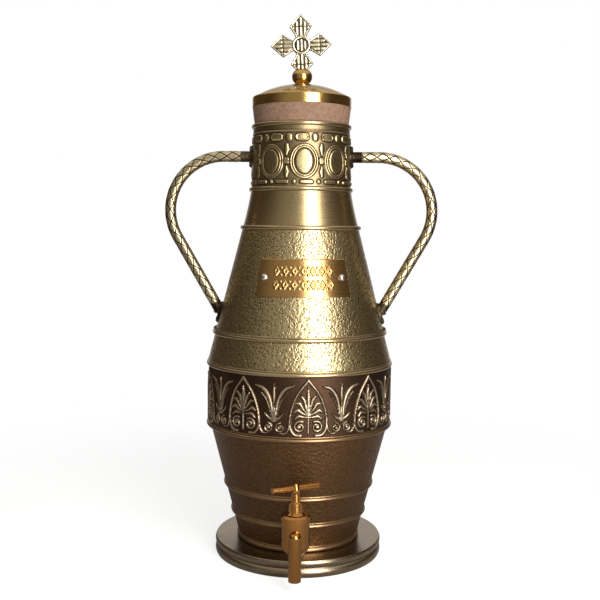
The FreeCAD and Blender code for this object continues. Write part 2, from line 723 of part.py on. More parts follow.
def make_handles():
    """Bow handles, the plates they stand on and the screws that hold them from inside."""
    run_start = f"({neck_wall_radius('handle_height')} + rosette_depth + solder_gap)"
    run_end = f"({neck_wall_radius('handle_height')} + handle_run)"
    bend_x = f"({run_end} + handle_bend * sin(handle_sweep))"
    bend_z = "(handle_height - handle_bend + handle_bend * cos(handle_sweep))"
    leg = (
        f"(({bend_x} - {upper_wall_radius(bend_z)})"
        f" / ({UPPER_INSET} * sin(handle_sweep) - cos(handle_sweep)))"
    )
    lower_height = f"({bend_z} - {leg} * sin(handle_sweep))"
    lower_seat, lower_z = size(upper_wall_radius(lower_height)), size(lower_height)
    upper_seat, upper_z = size(neck_wall_radius("handle_height")), size("handle_height")
    body = DOC.addObject("PartDesign::Body", "HandleRod")
    path = sketch_in(body, "Bow", "XZ_Plane")
    outline = [
        (run_start, "handle_height"),
        (run_end, "handle_height", "0 - handle_bend * (1 - cos(handle_sweep / 2))"),
        (bend_x, bend_z),
        (
            f"{bend_x} + ({leg} + handle_spare) * cos(handle_sweep)",
            f"{bend_z} - ({leg} + handle_spare) * sin(handle_sweep)",
        ),
    ]
    draw(path, outline, closed=False)
    section = circle_in(
        sketch_in(body, "RodSection", "YZ_Plane", (0, 0, run_start)), "0", "handle_height", "handle_rod"
    )
    rod = body.newObject("PartDesign::AdditivePipe", "Rod")
    rod.Profile = section
    rod.Spine = path
    trim = cylinder("SeatTrim", "handle_rod * 4", "handle_rod * 4 + rosette_depth + solder_gap")
    face_out(trim, 90, lower_seat, lower_z, UPPER_TILT, size("handle_rod * 4"))
    hole_radius = "screw_radius + screw_clearance"
    hole_depth = "screw_reach + sheet + rosette_radius"
    upper_hole = cylinder("UpperScrewHole", hole_radius, hole_depth)
    face_out(upper_hole, 90, upper_seat, upper_z, 0.0, size("sheet + rosette_radius"))
    lower_hole = cylinder("LowerScrewHole", hole_radius, hole_depth)
    face_out(lower_hole, 90, lower_seat, lower_z, UPPER_TILT, size("sheet + rosette_radius"))
    holes = group("ScrewHolesRight", [upper_hole, lower_hole])
    drilled = cut("HandleDrilled", body, holes)
    right = keep(cut("HandleRight", drilled, trim), "handle_right")
    keep(mirrored("HandleLeft", right), "handle_left")

    upper_disc = cylinder("UpperDisc", "rosette_radius", "rosette_radius + rosette_depth")
    face_out(upper_disc, 90, upper_seat, upper_z, 0.0, size("rosette_radius"))
    lower_disc = cylinder("LowerDisc", "rosette_radius", "rosette_radius + rosette_depth")
    face_out(lower_disc, 90, lower_seat, lower_z, UPPER_TILT, size("rosette_radius"))
    neck_core = cone(
        "NeckCore",
        "neck_base_radius + solder_gap",
        "mouth_radius + solder_gap",
        "neck_height",
        "mouth_height",
    )
    wall_core = cone(
        "WallCore",
        f"{upper_wall_radius('upper_hoop_height')} + solder_gap",
        "shoulder_radius + solder_gap",
        "upper_hoop_height",
        "shoulder_height",
    )
    discs = group("DiscsRight", [upper_disc, lower_disc])
    seats = group("DiscSeats", [neck_core, wall_core])
    shaped = cut("DiscsShaped", discs, seats)
    rosettes = keep(cut("RosettesRight", shaped, holes), "rosettes_right")
    keep(mirrored("RosettesLeft", rosettes), "rosettes_left")

    inside = "(sheet + screw_seat)"
    upper_screw = screw("UpperScrew", f"{inside} + screw_reach - screw_clearance * 2")
    face_out(upper_screw, 90, upper_seat, upper_z, 0.0, size(inside))
    lower_screw = screw("LowerScrew", f"{inside} + screw_reach - screw_clearance * 2")
    face_out(lower_screw, 90, lower_seat, lower_z, UPPER_TILT, size(inside))
    pair = group("ScrewsRight", [upper_screw, lower_screw])
    other = mirrored("ScrewsLeft", pair)
    keep(group("HandleScrews", [pair, other]), "handle_screws")
    left_hole = mirrored("LowerScrewHoleLeft", lower_hole)
    return [lower_hole, left_hole]


# Nameplate

def make_nameplate():
    """Bare curved plate and the two rivets that hold it."""
    middle = "(plate_bottom + plate_top) / 2"
    outline = [
        (f"{upper_wall_radius('plate_bottom')} + solder_gap", "plate_bottom"),
        (f"{upper_wall_radius('plate_bottom')} + solder_gap + plate_sheet", "plate_bottom"),
        (f"{upper_wall_radius('plate_top')} + solder_gap + plate_sheet", "plate_top"),
        (f"{upper_wall_radius('plate_top')} + solder_gap", "plate_top"),
    ]
    body = turned_body("PlateBody", outline)
    turning = body.Tip
    turning.Midplane = True
    turning.setExpression("Angle", bound("plate_sweep"))
    body.setExpression("Placement.Rotation.Angle", bound("plate_angle - 90"))
    rivets, holes = [], []
    for side, number in ((-1, "Left"), (1, "Right")):
        azimuth = size(f"plate_angle + {side} * rivet_angle")
        radius, height = size(upper_wall_radius(middle)), size(middle)
        under = "solder_gap * 2 + plate_sheet"
        rivet = turned_body(
            f"Rivet{number}",
            [
                ("0", "0 - sheet - rivet_head / 2"),
                ("rivet_head_radius * 0.8", "0 - sheet - rivet_head / 2"),
                ("rivet_head_radius * 0.8", "0 - sheet - rivet_clearance"),
                ("rivet_radius", "0 - sheet - rivet_clearance"),
                ("rivet_radius", under),
                ("rivet_head_radius", under, cap_rise("rivet_head_radius - rivet_crown", "rivet_head")),
                ("rivet_crown", f"{under} + rivet_head"),
                ("0", f"{under} + rivet_head"),
            ],
        )
        rivets.append(face_out(rivet, azimuth, radius, height, UPPER_TILT))
        hole = cylinder(f"RivetHole{number}", "rivet_radius + rivet_clearance", "rivet_head_radius * 3")
        holes.append(face_out(hole, azimuth, radius, height, UPPER_TILT, size("rivet_head_radius * 1.5")))
    keep(cut("Nameplate", body, group("PlateHoles", holes)), "nameplate")
    keep(group("NameplateRivets", rivets), "nameplate_rivets")
    return holes


# Stopper

CORK_MOUTH = "(mouth_radius - sheet - cork_clearance)"
LID_SEAT = "(cork_top + solder_gap)"
DOME_FOOT = f"({LID_SEAT} + lid_rim + lid_round)"
LID_TOP = f"({DOME_FOOT} + lid_dome)"
KNOP_SEAT = f"({LID_TOP} + solder_gap)"
KNOP_TOP = f"({KNOP_SEAT} + knop_height)"


def cork_radius(height):
    return f"({CORK_MOUTH} + cork_taper * ({height} - mouth_height))"


def make_stopper():
    """Tapered cork with its brass lid, knop, cross and the rod that holds them together."""
    bore = "rod_radius + rod_clearance"
    cork = [
        (bore, "cork_bottom"),
        (f"{cork_radius('cork_bottom')} - cork_edge", "cork_bottom"),
        (cork_radius("(cork_bottom + cork_edge)"), "cork_bottom + cork_edge"),
        (cork_radius("cork_top"), "cork_top"),
        (bore, "cork_top"),
    ]
    keep(turned_body("CorkStopper", cork), "cork_stopper")
    dome = cap_rise("lid_radius - lid_round", "lid_dome")
    lid = [
        ("lid_radius - lid_sheet", LID_SEAT),
        ("lid_radius", LID_SEAT),
        ("lid_radius", f"{LID_SEAT} + lid_rim", "lid_round * 0.35"),
        ("lid_radius - lid_round", DOME_FOOT, dome),
        (bore, LID_TOP),
        (bore, f"{LID_TOP} - lid_sheet", f"0 - {dome}"),
        ("lid_radius - lid_round - lid_sheet", f"{DOME_FOOT} - lid_sheet"),
        ("lid_radius - lid_sheet", f"{LID_SEAT} + lid_rim - lid_sheet"),
    ]
    keep(turned_body("LidCap", lid), "lid_cap")
    blind = f"{KNOP_SEAT} + rod_end"
    socket = "tenon_radius + tenon_clearance"
    knop = [
        (bore, KNOP_SEAT),
        ("knop_waist", KNOP_SEAT),
        ("knop_waist - bead_neck", f"{KNOP_SEAT} + lid_sheet", "knop_swell"),
        ("knop_crown", KNOP_TOP),
        (socket, KNOP_TOP),
        (socket, f"{KNOP_TOP} - tenon_depth - tenon_clearance"),
        ("0", f"{KNOP_TOP} - tenon_depth - tenon_clearance"),
        ("0", blind),
        (bore, blind),
    ]
    keep(turned_body("Knop", knop), "knop")
    rod_foot = "cork_bottom - solder_gap * 2 - washer - stopper_nut - shank_spare"
    rod_head = f"{blind} - rod_clearance"
    rod = [("0", rod_foot), ("rod_radius", rod_foot), ("rod_radius", rod_head), ("0", rod_head)]
    keep(turned_body("StopperRod", rod), "stopper_rod")
    top, low = "cork_bottom - solder_gap", "cork_bottom - solder_gap - washer"
    washer = [(bore, low), ("washer_radius", low), ("washer_radius", top), (bore, top)]
    keep(turned_body("StopperWasher", washer), "stopper_washer")
    face = f"{low} - solder_gap - stopper_nut"
    keep(hex_nut("StopperNut", "stopper_nut_radius", "stopper_nut", bore, face), "stopper_nut")


def hex_nut(name, corner, thickness, bore, bottom):
    """A hexagonal nut on the upright axis of its own body."""
    prism = DOC.addObject("Part::Prism", f"{name}Hexagon")
    prism.Polygon = 6
    prism.setExpression("Circumradius", bound(corner))
    prism.setExpression("Height", bound(thickness))
    hole = cylinder(f"{name}Bore", bore, f"{thickness} * 3")
    hole.setExpression("Placement.Base.z", bound(f"0 - ({thickness})"))
    nut = cut(name, prism, hole)
    nut.setExpression("Placement.Base.z", bound(bottom))
    return nut


def make_cross():
    """Four barbed arms round a ring, on a tenon in the knop's crown."""
    body = DOC.addObject("PartDesign::Body", "Cross")
    arm_outline = [
        ("0 - cross_root_half", "cross_boss / 2"),
        ("cross_root_half", "cross_boss / 2"),
        ("cross_root_half", "cross_root"),
        ("cross_barb_half", "cross_barb"),
        ("0", "cross_arm"),
        ("0 - cross_barb_half", "cross_barb"),
        ("0 - cross_root_half", "cross_root"),
    ]
    middle = (0, "cross_rise", 0)
    boss = circle_in(sketch_in(body, "RingOutline", "XZ_Plane", middle), "0", "0", "cross_boss")
    extrude(body, boss, "PartDesign::Pad", "cross_boss_thick", "Ring", midplane=True)
    arm_sketch = draw(sketch_in(body, "ArmOutline", "XZ_Plane", middle), arm_outline)
    arm = extrude(body, arm_sketch, "PartDesign::Pad", "cross_thick", "Arm", midplane=True)
    DOC.recompute()
    arms = body.newObject("PartDesign::PolarPattern", "Arms")
    arms.Originals = [arm]
    arms.Axis = (arm_sketch, ["N_Axis"])
    arms.Angle = 360
    arms.Occurrences = 4
    body.Tip = arms
    foot = draw(
        sketch_in(body, "FootTrim", "XZ_Plane"),
        [
            ("0 - cross_arm", "0 - cross_arm"),
            ("cross_arm", "0 - cross_arm"),
            ("cross_arm", "cross_seat"),
            ("0 - cross_arm", "cross_seat"),
        ],
    )
    extrude(body, foot, "PartDesign::Pocket", "cross_arm", "FootPocket", midplane=True)
    tenon = [
        ("0", "0 - tenon_depth"),
        ("tenon_radius", "0 - tenon_depth"),
        ("tenon_radius", "cross_seat * 2"),
        ("0", "cross_seat * 2"),
    ]
    turn(body, tenon, "Tenon")
    lean = FreeCAD.Rotation(FreeCAD.Vector(0, 1, 0), 0 - size("cross_angle"))
    body.Placement = FreeCAD.Placement(FreeCAD.Vector(0, 0, size(KNOP_TOP)), lean)
    keep(body, "cross")


# Tap

TAP_WALL = lower_wall_radius("tap_height")
TAP_AXIS = f"({TAP_WALL} + tap_stand_off)"
SADDLE_FACE = f"({TAP_WALL} + saddle_depth)"
INNER_FACE = f"({TAP_WALL} - inner_saddle_depth)"


def at_tap(piece):
    """Moves a piece from the vessel's axis to the tap's barrel axis."""
    piece.setExpression("Placement.Base.y", bound(f"0 - {TAP_AXIS}"))
    return piece


def make_tap_body():
    """Cast barrel, collared shank and spout, with the plug's taper and the water way bored out."""
    body = DOC.addObject("PartDesign::Body", "TapBody")
    barrel = [
        ("0", "barrel_bottom"),
        ("barrel_base_radius", "barrel_bottom", "barrel_round * 0.16"),
        ("barrel_radius", "barrel_bottom + barrel_round"),
        ("barrel_radius", "barrel_top - collar_height"),
        ("barrel_collar", "barrel_top - collar_height"),
        ("barrel_collar", "barrel_top - barrel_bevel"),
        ("barrel_collar - barrel_bevel", "barrel_top"),
        ("0", "barrel_top"),
    ]
    turn(body, barrel, "Barrel")
    collar = circle_in(sketch_in(body, "CollarOutline", "XZ_Plane"), "0", "tap_height", "shank_collar")
    extrude(
        body,
        collar,
        "PartDesign::Pad",
        "tap_stand_off - saddle_depth - solder_gap",
        "Collar",
        reverse=True,
    )
    shank = circle_in(sketch_in(body, "ShankOutline", "XZ_Plane"), "0", "tap_height", "shank_radius")
    shank_length = "tap_stand_off + inner_saddle_depth + solder_gap + lock_nut + shank_spare"
    extrude(body, shank, "PartDesign::Pad", shank_length, "Shank", reverse=True)
    spout = draw(
        sketch_in(body, "SpoutOutline", "YZ_Plane"),
        [
            ("0 - spout_reach", "spout_bottom"),
            ("0 - spout_reach + spout_radius", "spout_bottom"),
            (
                "0 - spout_reach + spout_radius",
                "spout_top - spout_round",
                cap_rise("spout_round", "spout_round"),
            ),
            ("0 - spout_reach + spout_radius - spout_round", "spout_top"),
            ("0 - spout_reach", "spout_top"),
        ],
    )
    start = FreeCAD.Vector(-size("spout_reach"), 0, 0)
    end = FreeCAD.Vector(-size("spout_reach"), size("spout_bottom"), 0)
    line = spout.addGeometry(Part.LineSegment(start, end), True)
    spout.addConstraint(Sketcher.Constraint("Vertical", line))
    spout.addConstraint(Sketcher.Constraint("Coincident", line, 2, 0, 1))
    spout.addConstraint(Sketcher.Constraint("PointOnObject", line, 1, -1))
    pipe = body.newObject("PartDesign::Revolution", "Spout")
    pipe.Profile = spout
    pipe.ReferenceAxis = (spout, ["Axis0"])
    pipe.Angle = 360
    spout.Visibility = False
    taper = [
        ("0", "barrel_bottom"),
        ("plug_bottom_radius + plug_clearance", "barrel_bottom"),
        ("plug_top_radius + plug_clearance", "barrel_top"),
        ("0", "barrel_top"),
    ]
    turn(body, taper, "PlugTaper", "PartDesign::Groove")
    way = circle_in(
        sketch_in(body, "WayOutline", "XZ_Plane", (0, 0, "spout_reach")), "0", "tap_height", "waterway"
    )
    extrude(body, way, "PartDesign::Pocket", f"spout_reach + {shank_length} * 2", "WaterWay")
    outlet = circle_in(
        sketch_in(body, "OutletOutline", "XY_Plane", (0, 0, "spout_bottom")),
        "0",
        "0 - spout_reach",
        "spout_bore",
    )
    depth = "tap_height + waterway + outlet_spare - spout_bottom"
    extrude(body, outlet, "PartDesign::Pocket", depth, "Outlet", reverse=True)
    keep(at_tap(body), "tap_body")


def make_tap_key():
    """Tapered plug with its port, skirt, cone, neck and the round head that takes the cross bar."""
    body = DOC.addObject("PartDesign::Body", "TapKey")
    foot = "barrel_bottom - plug_lift - key_washer - solder_gap - key_nut - stud_spare"
    skirt = "(barrel_top + plug_lift)"
    low = "(barrel_bottom + plug_lift)"
    slant = f"(plug_top_radius - plug_bottom_radius) / (barrel_top - barrel_bottom)"
    outline = [
        ("0", foot),
        ("stud_radius", foot),
        ("stud_radius", low),
        (f"plug_bottom_radius + plug_lift * {slant}", low),
        ("plug_top_radius", "barrel_top"),
        ("plug_top_radius", skirt),
        ("key_skirt", skirt),
        ("key_cone_radius", f"{skirt} + key_skirt_height"),
        ("key_cone_top", "barrel_top + key_cone_height"),
        ("key_neck_radius", "barrel_top + key_cone_height + key_collar_height"),
        ("key_neck_radius - key_collar_height / 2", "barrel_top + key_neck_height", "key_head_swell"),
        ("key_neck_radius / 2", "barrel_top + key_head_height"),
        ("0", "barrel_top + key_head_height"),
    ]
    turn(body, outline, "Stem")
    port = circle_in(sketch_in(body, "PortOutline", "YZ_Plane"), "0", "tap_height", "waterway")
    extrude(body, port, "PartDesign::Pocket", "barrel_radius * 4", "Port", midplane=True)
    eye = circle_in(
        sketch_in(body, "EyeOutline", "YZ_Plane"),
        "0",
        "barrel_top + bar_height",
        "bar_radius + bar_clearance",
    )
    extrude(body, eye, "PartDesign::Pocket", "barrel_radius * 4", "Eye", midplane=True)
    body.setExpression("Placement.Rotation.Angle", bound("key_angle"))
    keep(at_tap(body), "tap_key")

    bar = DOC.addObject("PartDesign::Body", "TBar")
    half = "bar_length / 2"
    turn(
        bar,
        [
            ("0", f"0 - {half}"),
            ("bar_radius - bead_neck * 2", f"0 - {half}"),
            ("bar_radius", f"0 - {half} + bead_neck * 2"),
            ("bar_radius", f"{half} - bead_neck * 2"),
            ("bar_radius - bead_neck * 2", half),
            ("0", half),
        ],
        "Bar",
    )
    turned = FreeCAD.Rotation(FreeCAD.Vector(0, 0, 1), size("key_angle"))
    level = FreeCAD.Rotation(FreeCAD.Vector(0, 1, 0), 90)
    place = FreeCAD.Vector(0, 0 - size(TAP_AXIS), size("barrel_top + bar_height"))
    bar.Placement = FreeCAD.Placement(place, turned * level)
    keep(bar, "tap_t_bar")

    top = "barrel_bottom - plug_lift"
    hole = "stud_radius + bar_clearance"
    washer = [
        (hole, f"{top} - key_washer"),
        ("key_washer_radius", f"{top} - key_washer"),
        ("key_washer_radius", top),
        (hole, top),
    ]
    keep(at_tap(turned_body("KeyWasher", washer)), "key_washer")
    face = f"{top} - key_washer - solder_gap - key_nut"
    keep(at_tap(hex_nut("KeyNut", "key_nut_radius", "key_nut", hole, face)), "key_nut")


def facing_tap(piece, out_to):
    """Lays a cylinder along the tap's shank, from the vessel's axis side out to a distance."""
    lying = FreeCAD.Rotation(FreeCAD.Vector(1, 0, 0), 90)
    piece.Placement = FreeCAD.Placement(FreeCAD.Vector(0, 0 - out_to, size("tap_height")), lying)
    return piece


def wall_shell(name, offset):
    """The lower wall's cone around the tap, moved outwards by an offset."""
    low, high = "(tap_height - saddle_radius * 2)", "(tap_height + saddle_radius * 2)"
    return cone(
        name,
        f"{lower_wall_radius(low)} + {offset}",
        f"{lower_wall_radius(high)} + {offset}",
        low,
        high,
    )


def make_tap_fixings():
    """Saddles, gaskets and nut that clamp the shank in the lower wall."""
    hole = facing_tap(
        cylinder("ShankBore", "shank_radius + shank_clearance", "saddle_radius * 8"),
        size(f"{TAP_WALL} - saddle_radius * 4"),
    )
    gap = "solder_gap"
    outer = cylinder("OuterBlank", "saddle_radius", "saddle_radius + saddle_depth")
    facing_tap(outer, size(f"{TAP_WALL} - saddle_radius"))
    shaped = cut("OuterShaped", outer, wall_shell("OuterSeat", f"gasket + {gap} * 2"))
    keep(cut("TapSaddle", shaped, hole), "tap_saddle")

    ring = cylinder("OuterGasketBlank", "gasket_radius", "saddle_radius * 2")
    facing_tap(ring, size(f"{TAP_WALL} - saddle_radius"))
    skin = cut("OuterSkin", wall_shell("OuterSkinFace", f"gasket + {gap}"), wall_shell("OuterSkinBack", gap))
    keep(cut("TapOuterGasket", common("OuterGasket", ring, skin), hole), "tap_outer_gasket")

    ring = cylinder("InnerGasketBlank", "gasket_radius", "saddle_radius * 2")
    facing_tap(ring, size(f"{TAP_WALL} - saddle_radius * 2"))
    skin = cut(
        "InnerSkin",
        wall_shell("InnerSkinFace", f"0 - sheet - {gap}"),
        wall_shell("InnerSkinBack", f"0 - sheet - {gap} - gasket"),
    )
    keep(cut("TapInnerGasket", common("InnerGasket", ring, skin), hole), "tap_inner_gasket")

    inner = cylinder("InnerBlank", "gasket_radius", "saddle_radius")
    facing_tap(inner, size(INNER_FACE))
    inner_seat = wall_shell("InnerSeat", f"0 - sheet - {gap} * 2 - gasket")
    keep(cut("TapInnerSaddle", common("InnerShaped", inner, inner_seat), hole), "tap_inner_saddle")

    nut = hex_nut("TapLockNut", "lock_nut_radius", "lock_nut", "shank_radius + shank_clearance", "0")
    nut.setExpression("Placement.Base.z", None)
    lying = FreeCAD.Rotation(FreeCAD.Vector(1, 0, 0), 90)
    place = FreeCAD.Vector(0, 0 - size(f"{INNER_FACE} - solder_gap - lock_nut"), size("tap_height"))
    nut.Placement = FreeCAD.Placement(place, lying)
    keep(nut, "tap_lock_nut")


# Whole urn

def export():
    """Checks every object and writes one STEP file for each sub-part."""
    DOC.recompute()
    for thing in DOC.Objects:
        if {"Invalid", "Error"} & set(thing.State):
            raise RuntimeError(f"{thing.Name} failed: {thing.State}")
    os.makedirs("parts", exist_ok=True)
    for piece in PARTS:
        shape = piece.Shape
        if shape.isNull() or not shape.isValid() or not shape.Solids:
            raise RuntimeError(f"{piece.Label} has no valid solid")
        shape.exportStep(f"parts/{piece.Label}.step")
        print(f"{piece.Label}: {len(shape.Solids)} solids, {shape.Volume / 1000:.2f} cm3")


make_foot()
make_vessel_bottom()
make_lower_wall()
make_belly_band()
make_belly_frieze()
handle_holes = make_handles()
rivet_holes = make_nameplate()
make_upper_wall(group("UpperWallHoles", handle_holes + rivet_holes))
make_shoulder_wall()
make_neck_band()
make_hoops()
make_stopper()
make_cross()
make_tap_body()
make_tap_key()
make_tap_fixings()
export()
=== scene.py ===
"""Dresses the brass oil urn: figured bands, hammered walls, plaited handles, cross and studio."""

import json
import logging
import math
from dataclasses import dataclass, field
from enum import Enum
from itertools import product
from typing import ClassVar, Iterable, Optional, Sequence

import bpy
import numpy as np
from mathutils import Matrix, Vector


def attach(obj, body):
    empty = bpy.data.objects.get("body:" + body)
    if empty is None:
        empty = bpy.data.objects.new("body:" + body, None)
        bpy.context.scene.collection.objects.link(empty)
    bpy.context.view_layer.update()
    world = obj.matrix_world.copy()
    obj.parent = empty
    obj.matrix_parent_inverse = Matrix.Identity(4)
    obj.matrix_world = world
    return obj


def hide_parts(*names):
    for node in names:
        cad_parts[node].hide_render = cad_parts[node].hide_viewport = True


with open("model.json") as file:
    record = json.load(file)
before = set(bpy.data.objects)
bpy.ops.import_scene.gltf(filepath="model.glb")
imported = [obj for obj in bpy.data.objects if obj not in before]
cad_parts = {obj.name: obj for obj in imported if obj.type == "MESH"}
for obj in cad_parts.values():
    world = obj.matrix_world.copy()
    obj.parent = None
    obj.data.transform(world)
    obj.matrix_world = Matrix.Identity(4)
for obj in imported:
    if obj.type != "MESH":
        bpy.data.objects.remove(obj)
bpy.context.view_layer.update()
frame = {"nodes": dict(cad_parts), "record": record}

LOG = logging.getLogger("oil_urn")
MM = 0.001
FULL_TURN = 2.0 * math.pi
SHARP_ANGLE = math.radians(38.0)

Array = np.ndarray
Material = bpy.types.Material
Piece = bpy.types.Object
Socket = bpy.types.NodeSocket
Tree = bpy.types.NodeTree
Colour = tuple[float, float, float]
Point = tuple[float, float]
Surface = tuple[Socket, Socket, Socket, float]


class Body(Enum):
    """The bodies that the new pieces move with."""

    VESSEL = "vessel"
    STOPPER = "stopper"


class Slot(Enum):
    """The finishes that the record names."""

    SMOOTH = "smooth_brass"
    HAMMERED = "hammered_brass"
    FIGURED = "figured_brass"
    HOOP = "hoop_brass"
    HANDLE = "handle_brass"
    PLATE = "plate_brass"
    POLISHED = "polished_brass"
    CROSS = "cross_brass"
    STEEL = "steel"
    CORK = "cork"
    GASKET = "gasket"


# ---------------------------------------------------------------- node helpers


class Graph:
    """A short way to add and join shader nodes in one tree."""

    def __init__(self, tree: Tree) -> None:
        """Keeps the tree of a material, world or group that the nodes go into."""
        self.tree = tree

    def add(self, kind: str, settings: Optional[dict] = None, **inputs: object) -> bpy.types.Node:
        """Adds one node, sets its properties and fills its inputs.

        Args:
            kind: the node's type name without its ShaderNode prefix.
            settings: properties of the node itself.
            **inputs: socket name with _ for blanks, and a value or an output socket.

        Returns:
            The new node.
        """
        node = self.tree.nodes.new(f"ShaderNode{kind}")
        for name, value in (settings or {}).items():
            setattr(node, name, value)
        for name, value in inputs.items():
            self.feed(node.inputs[name.replace("_", " ")], value)
        return node

    def feed(self, socket: Socket, value: object) -> None:
        """Joins an output to a socket, or sets the socket's own value."""
        if isinstance(value, bpy.types.NodeSocket):
            self.tree.links.new(value, socket)
        elif isinstance(value, tuple) and len(value) == 3 and len(socket.default_value) == 4:
            socket.default_value = (*value, 1.0)
        else:
            socket.default_value = value

    def feed_all(self, node: bpy.types.Node, values: dict) -> bpy.types.Node:
        """Feeds inputs by their names or numbers, and gives back the node."""
        for key, value in values.items():
            self.feed(node.inputs[key], value)
        return node

    def group(self, tree: Tree, values: dict) -> bpy.types.bpy_prop_collection:
        """Adds a shared node group, feeds it and gives back its outputs."""
        return self.feed_all(self.add("Group", {"node_tree": tree}), values).outputs

    def math(self, operation: str, first: object, second: object, clamp: bool = False) -> Socket:
        """Adds a Math node and gives back its result."""
        node = self.add("Math", {"operation": operation, "use_clamp": clamp})
        return self.feed_all(node, {0: first, 1: second}).outputs[0]

    def plus(self, first: object, second: object, clamp: bool = False) -> Socket:
        """Adds two values."""
        return self.math("ADD", first, second, clamp)

    def times(self, first: object, second: object) -> Socket:
        """Multiplies two values."""
        return self.math("MULTIPLY", first, second)

    def swing(self, value: object, amount: object) -> Socket:
        """Turns a value around one half into a swing around zero."""
        return self.times(self.math("SUBTRACT", value, 0.5), amount)

    def blend(self, share: object, first: object, second: object) -> Socket:
        """Mixes two colours by a share and gives back the colour."""
        node = self.add("Mix", {"data_type": "RGBA"})
        return self.feed_all(node, {0: share, 6: first, 7: second}).outputs[2]

    def ramp(self, value: object, low: object, high: object,
             to_low: object = 0.0, to_high: object = 1.0) -> Socket:
        """Maps a value smoothly from one range to another and gives back the result."""
        node = self.add("MapRange", {"interpolation_type": "SMOOTHSTEP"})
        return self.feed_all(node, dict(enumerate((value, low, high, to_low, to_high)))).outputs[0]

    def place(self) -> Socket:
        """Gives the object's own coordinates."""
        return self.add("TexCoord").outputs["Object"]

    def rays(self) -> tuple[Socket, Socket]:
        """Tells the rays that the camera sees, straight or through glass, and the mirrored rays."""
        path = self.add("LightPath").outputs
        return self.math("MAXIMUM", path["Is Camera Ray"], path["Is Transmission Ray"]), path["Is Glossy Ray"]


def new_group(name: str, inputs: dict[str, object], outputs: Sequence[str]) -> tuple[Graph, dict, dict]:
    """Starts a shader node group with named sockets.

    Args:
        name: the group's name.
        inputs: socket name to its default: a number, or a colour as three numbers.
        outputs: socket names, where Color is a colour and the others are numbers.

    Returns:
        The graph, the group's input sockets by name and its output sockets by name.
    """
    tree = bpy.data.node_groups.new(name, "ShaderNodeTree")
    for label, default in inputs.items():
        colour = isinstance(default, tuple)
        kind = "NodeSocketColor" if colour else "NodeSocketFloat"
        socket = tree.interface.new_socket(name=label, in_out="INPUT", socket_type=kind)
        socket.default_value = (*default, 1.0) if colour else default
    for label in outputs:
        kind = "NodeSocketColor" if label == "Color" else "NodeSocketFloat"
        tree.interface.new_socket(name=label, in_out="OUTPUT", socket_type=kind)
    entry, leave = tree.nodes.new("NodeGroupInput"), tree.nodes.new("NodeGroupOutput")
    return (
        Graph(tree),
        {label: entry.outputs[label] for label in inputs},
        {label: leave.inputs[label] for label in outputs},
    )


AGED_INPUTS: dict[str, float | Colour] = {
    "Relief": 0.6,
    "Ground": (0.05, 0.03, 0.02),
    "Rubbed": (0.5, 0.4, 0.2),
    "Stain": (0.2, 0.1, 0.05),
    "Stain Scale": 18.0,
    "Stain Amount": 0.5,
    "Rub From": 0.3,
    "Rub To": 0.8,
    "Gloss": 0.25,
    "Matt": 0.5,
    "Grain Scale": 900.0,
    "Painted Low Reflection": (0.5, 0.4, 0.2),
    "Low Below": 0.15,
    "Low Dulling": 0.0,
}
RELIEF_CLOUDS = 0.5
RELIEF_GRAIN = 0.35
STAINED_CLOUDS = (0.46, 0.7)
LOW_EDGE_CLOUDS = 0.04
LOW_EDGE = (-0.01, 0.02)
LOW_STAIN_LOSS = 0.6
ROUGH_GRAIN = 0.18
ROUGH_STAIN = 0.1
PITTED_GRAIN = 0.3


def aged_metal_group() -> Tree:
    """Patina in the low places, rubbed metal on the high ones, cloudy stains, and painted reflection that
    darkens the metal towards the bottom.

    Returns:
        The node group.
    """
    graph, take, give = new_group("aged_metal", AGED_INPUTS, ("Color", "Roughness", "Height"))
    place = graph.place()
    clouds = graph.add("TexNoise", Vector=place, Scale=take["Stain Scale"], Detail=5.0, Roughness=0.62)
    grain = graph.add("TexNoise", Vector=place, Scale=take["Grain Scale"], Detail=3.0, Roughness=0.6)
    cloud, fine = clouds.outputs["Fac"], grain.outputs["Fac"]
    shifted = graph.plus(take["Relief"], graph.swing(cloud, RELIEF_CLOUDS))
    shifted = graph.plus(shifted, graph.swing(fine, RELIEF_GRAIN))
    rub = graph.ramp(shifted, take["Rub From"], take["Rub To"])
    height = graph.add("SeparateXYZ", Vector=place).outputs[2]
    height = graph.plus(height, graph.swing(cloud, LOW_EDGE_CLOUDS))
    low = graph.ramp(graph.math("SUBTRACT", take["Low Below"], height), *LOW_EDGE)
    stained = graph.times(graph.ramp(cloud, *STAINED_CLOUDS), take["Stain Amount"])
    stained = graph.times(stained, graph.math("SUBTRACT", 1.0, graph.times(low, LOW_STAIN_LOSS)))
    # Below the low height the metal turns to the low colour: a painted dark reflection, darker towards the
    # bottom.
    colour = graph.blend(low, take["Rubbed"], take["Painted Low Reflection"])
    colour = graph.blend(rub, take["Ground"], colour)
    graph.feed(give["Color"], graph.blend(stained, colour, take["Stain"]))
    dull = graph.times(low, take["Low Dulling"])
    rough = graph.ramp(rub, 0.0, 1.0, graph.plus(take["Matt"], dull), graph.plus(take["Gloss"], dull))
    rough = graph.plus(rough, graph.swing(fine, ROUGH_GRAIN))
    graph.feed(give["Roughness"], graph.plus(rough, graph.times(stained, ROUGH_STAIN), clamp=True))
    graph.feed(give["Height"], fine)
    return graph.tree


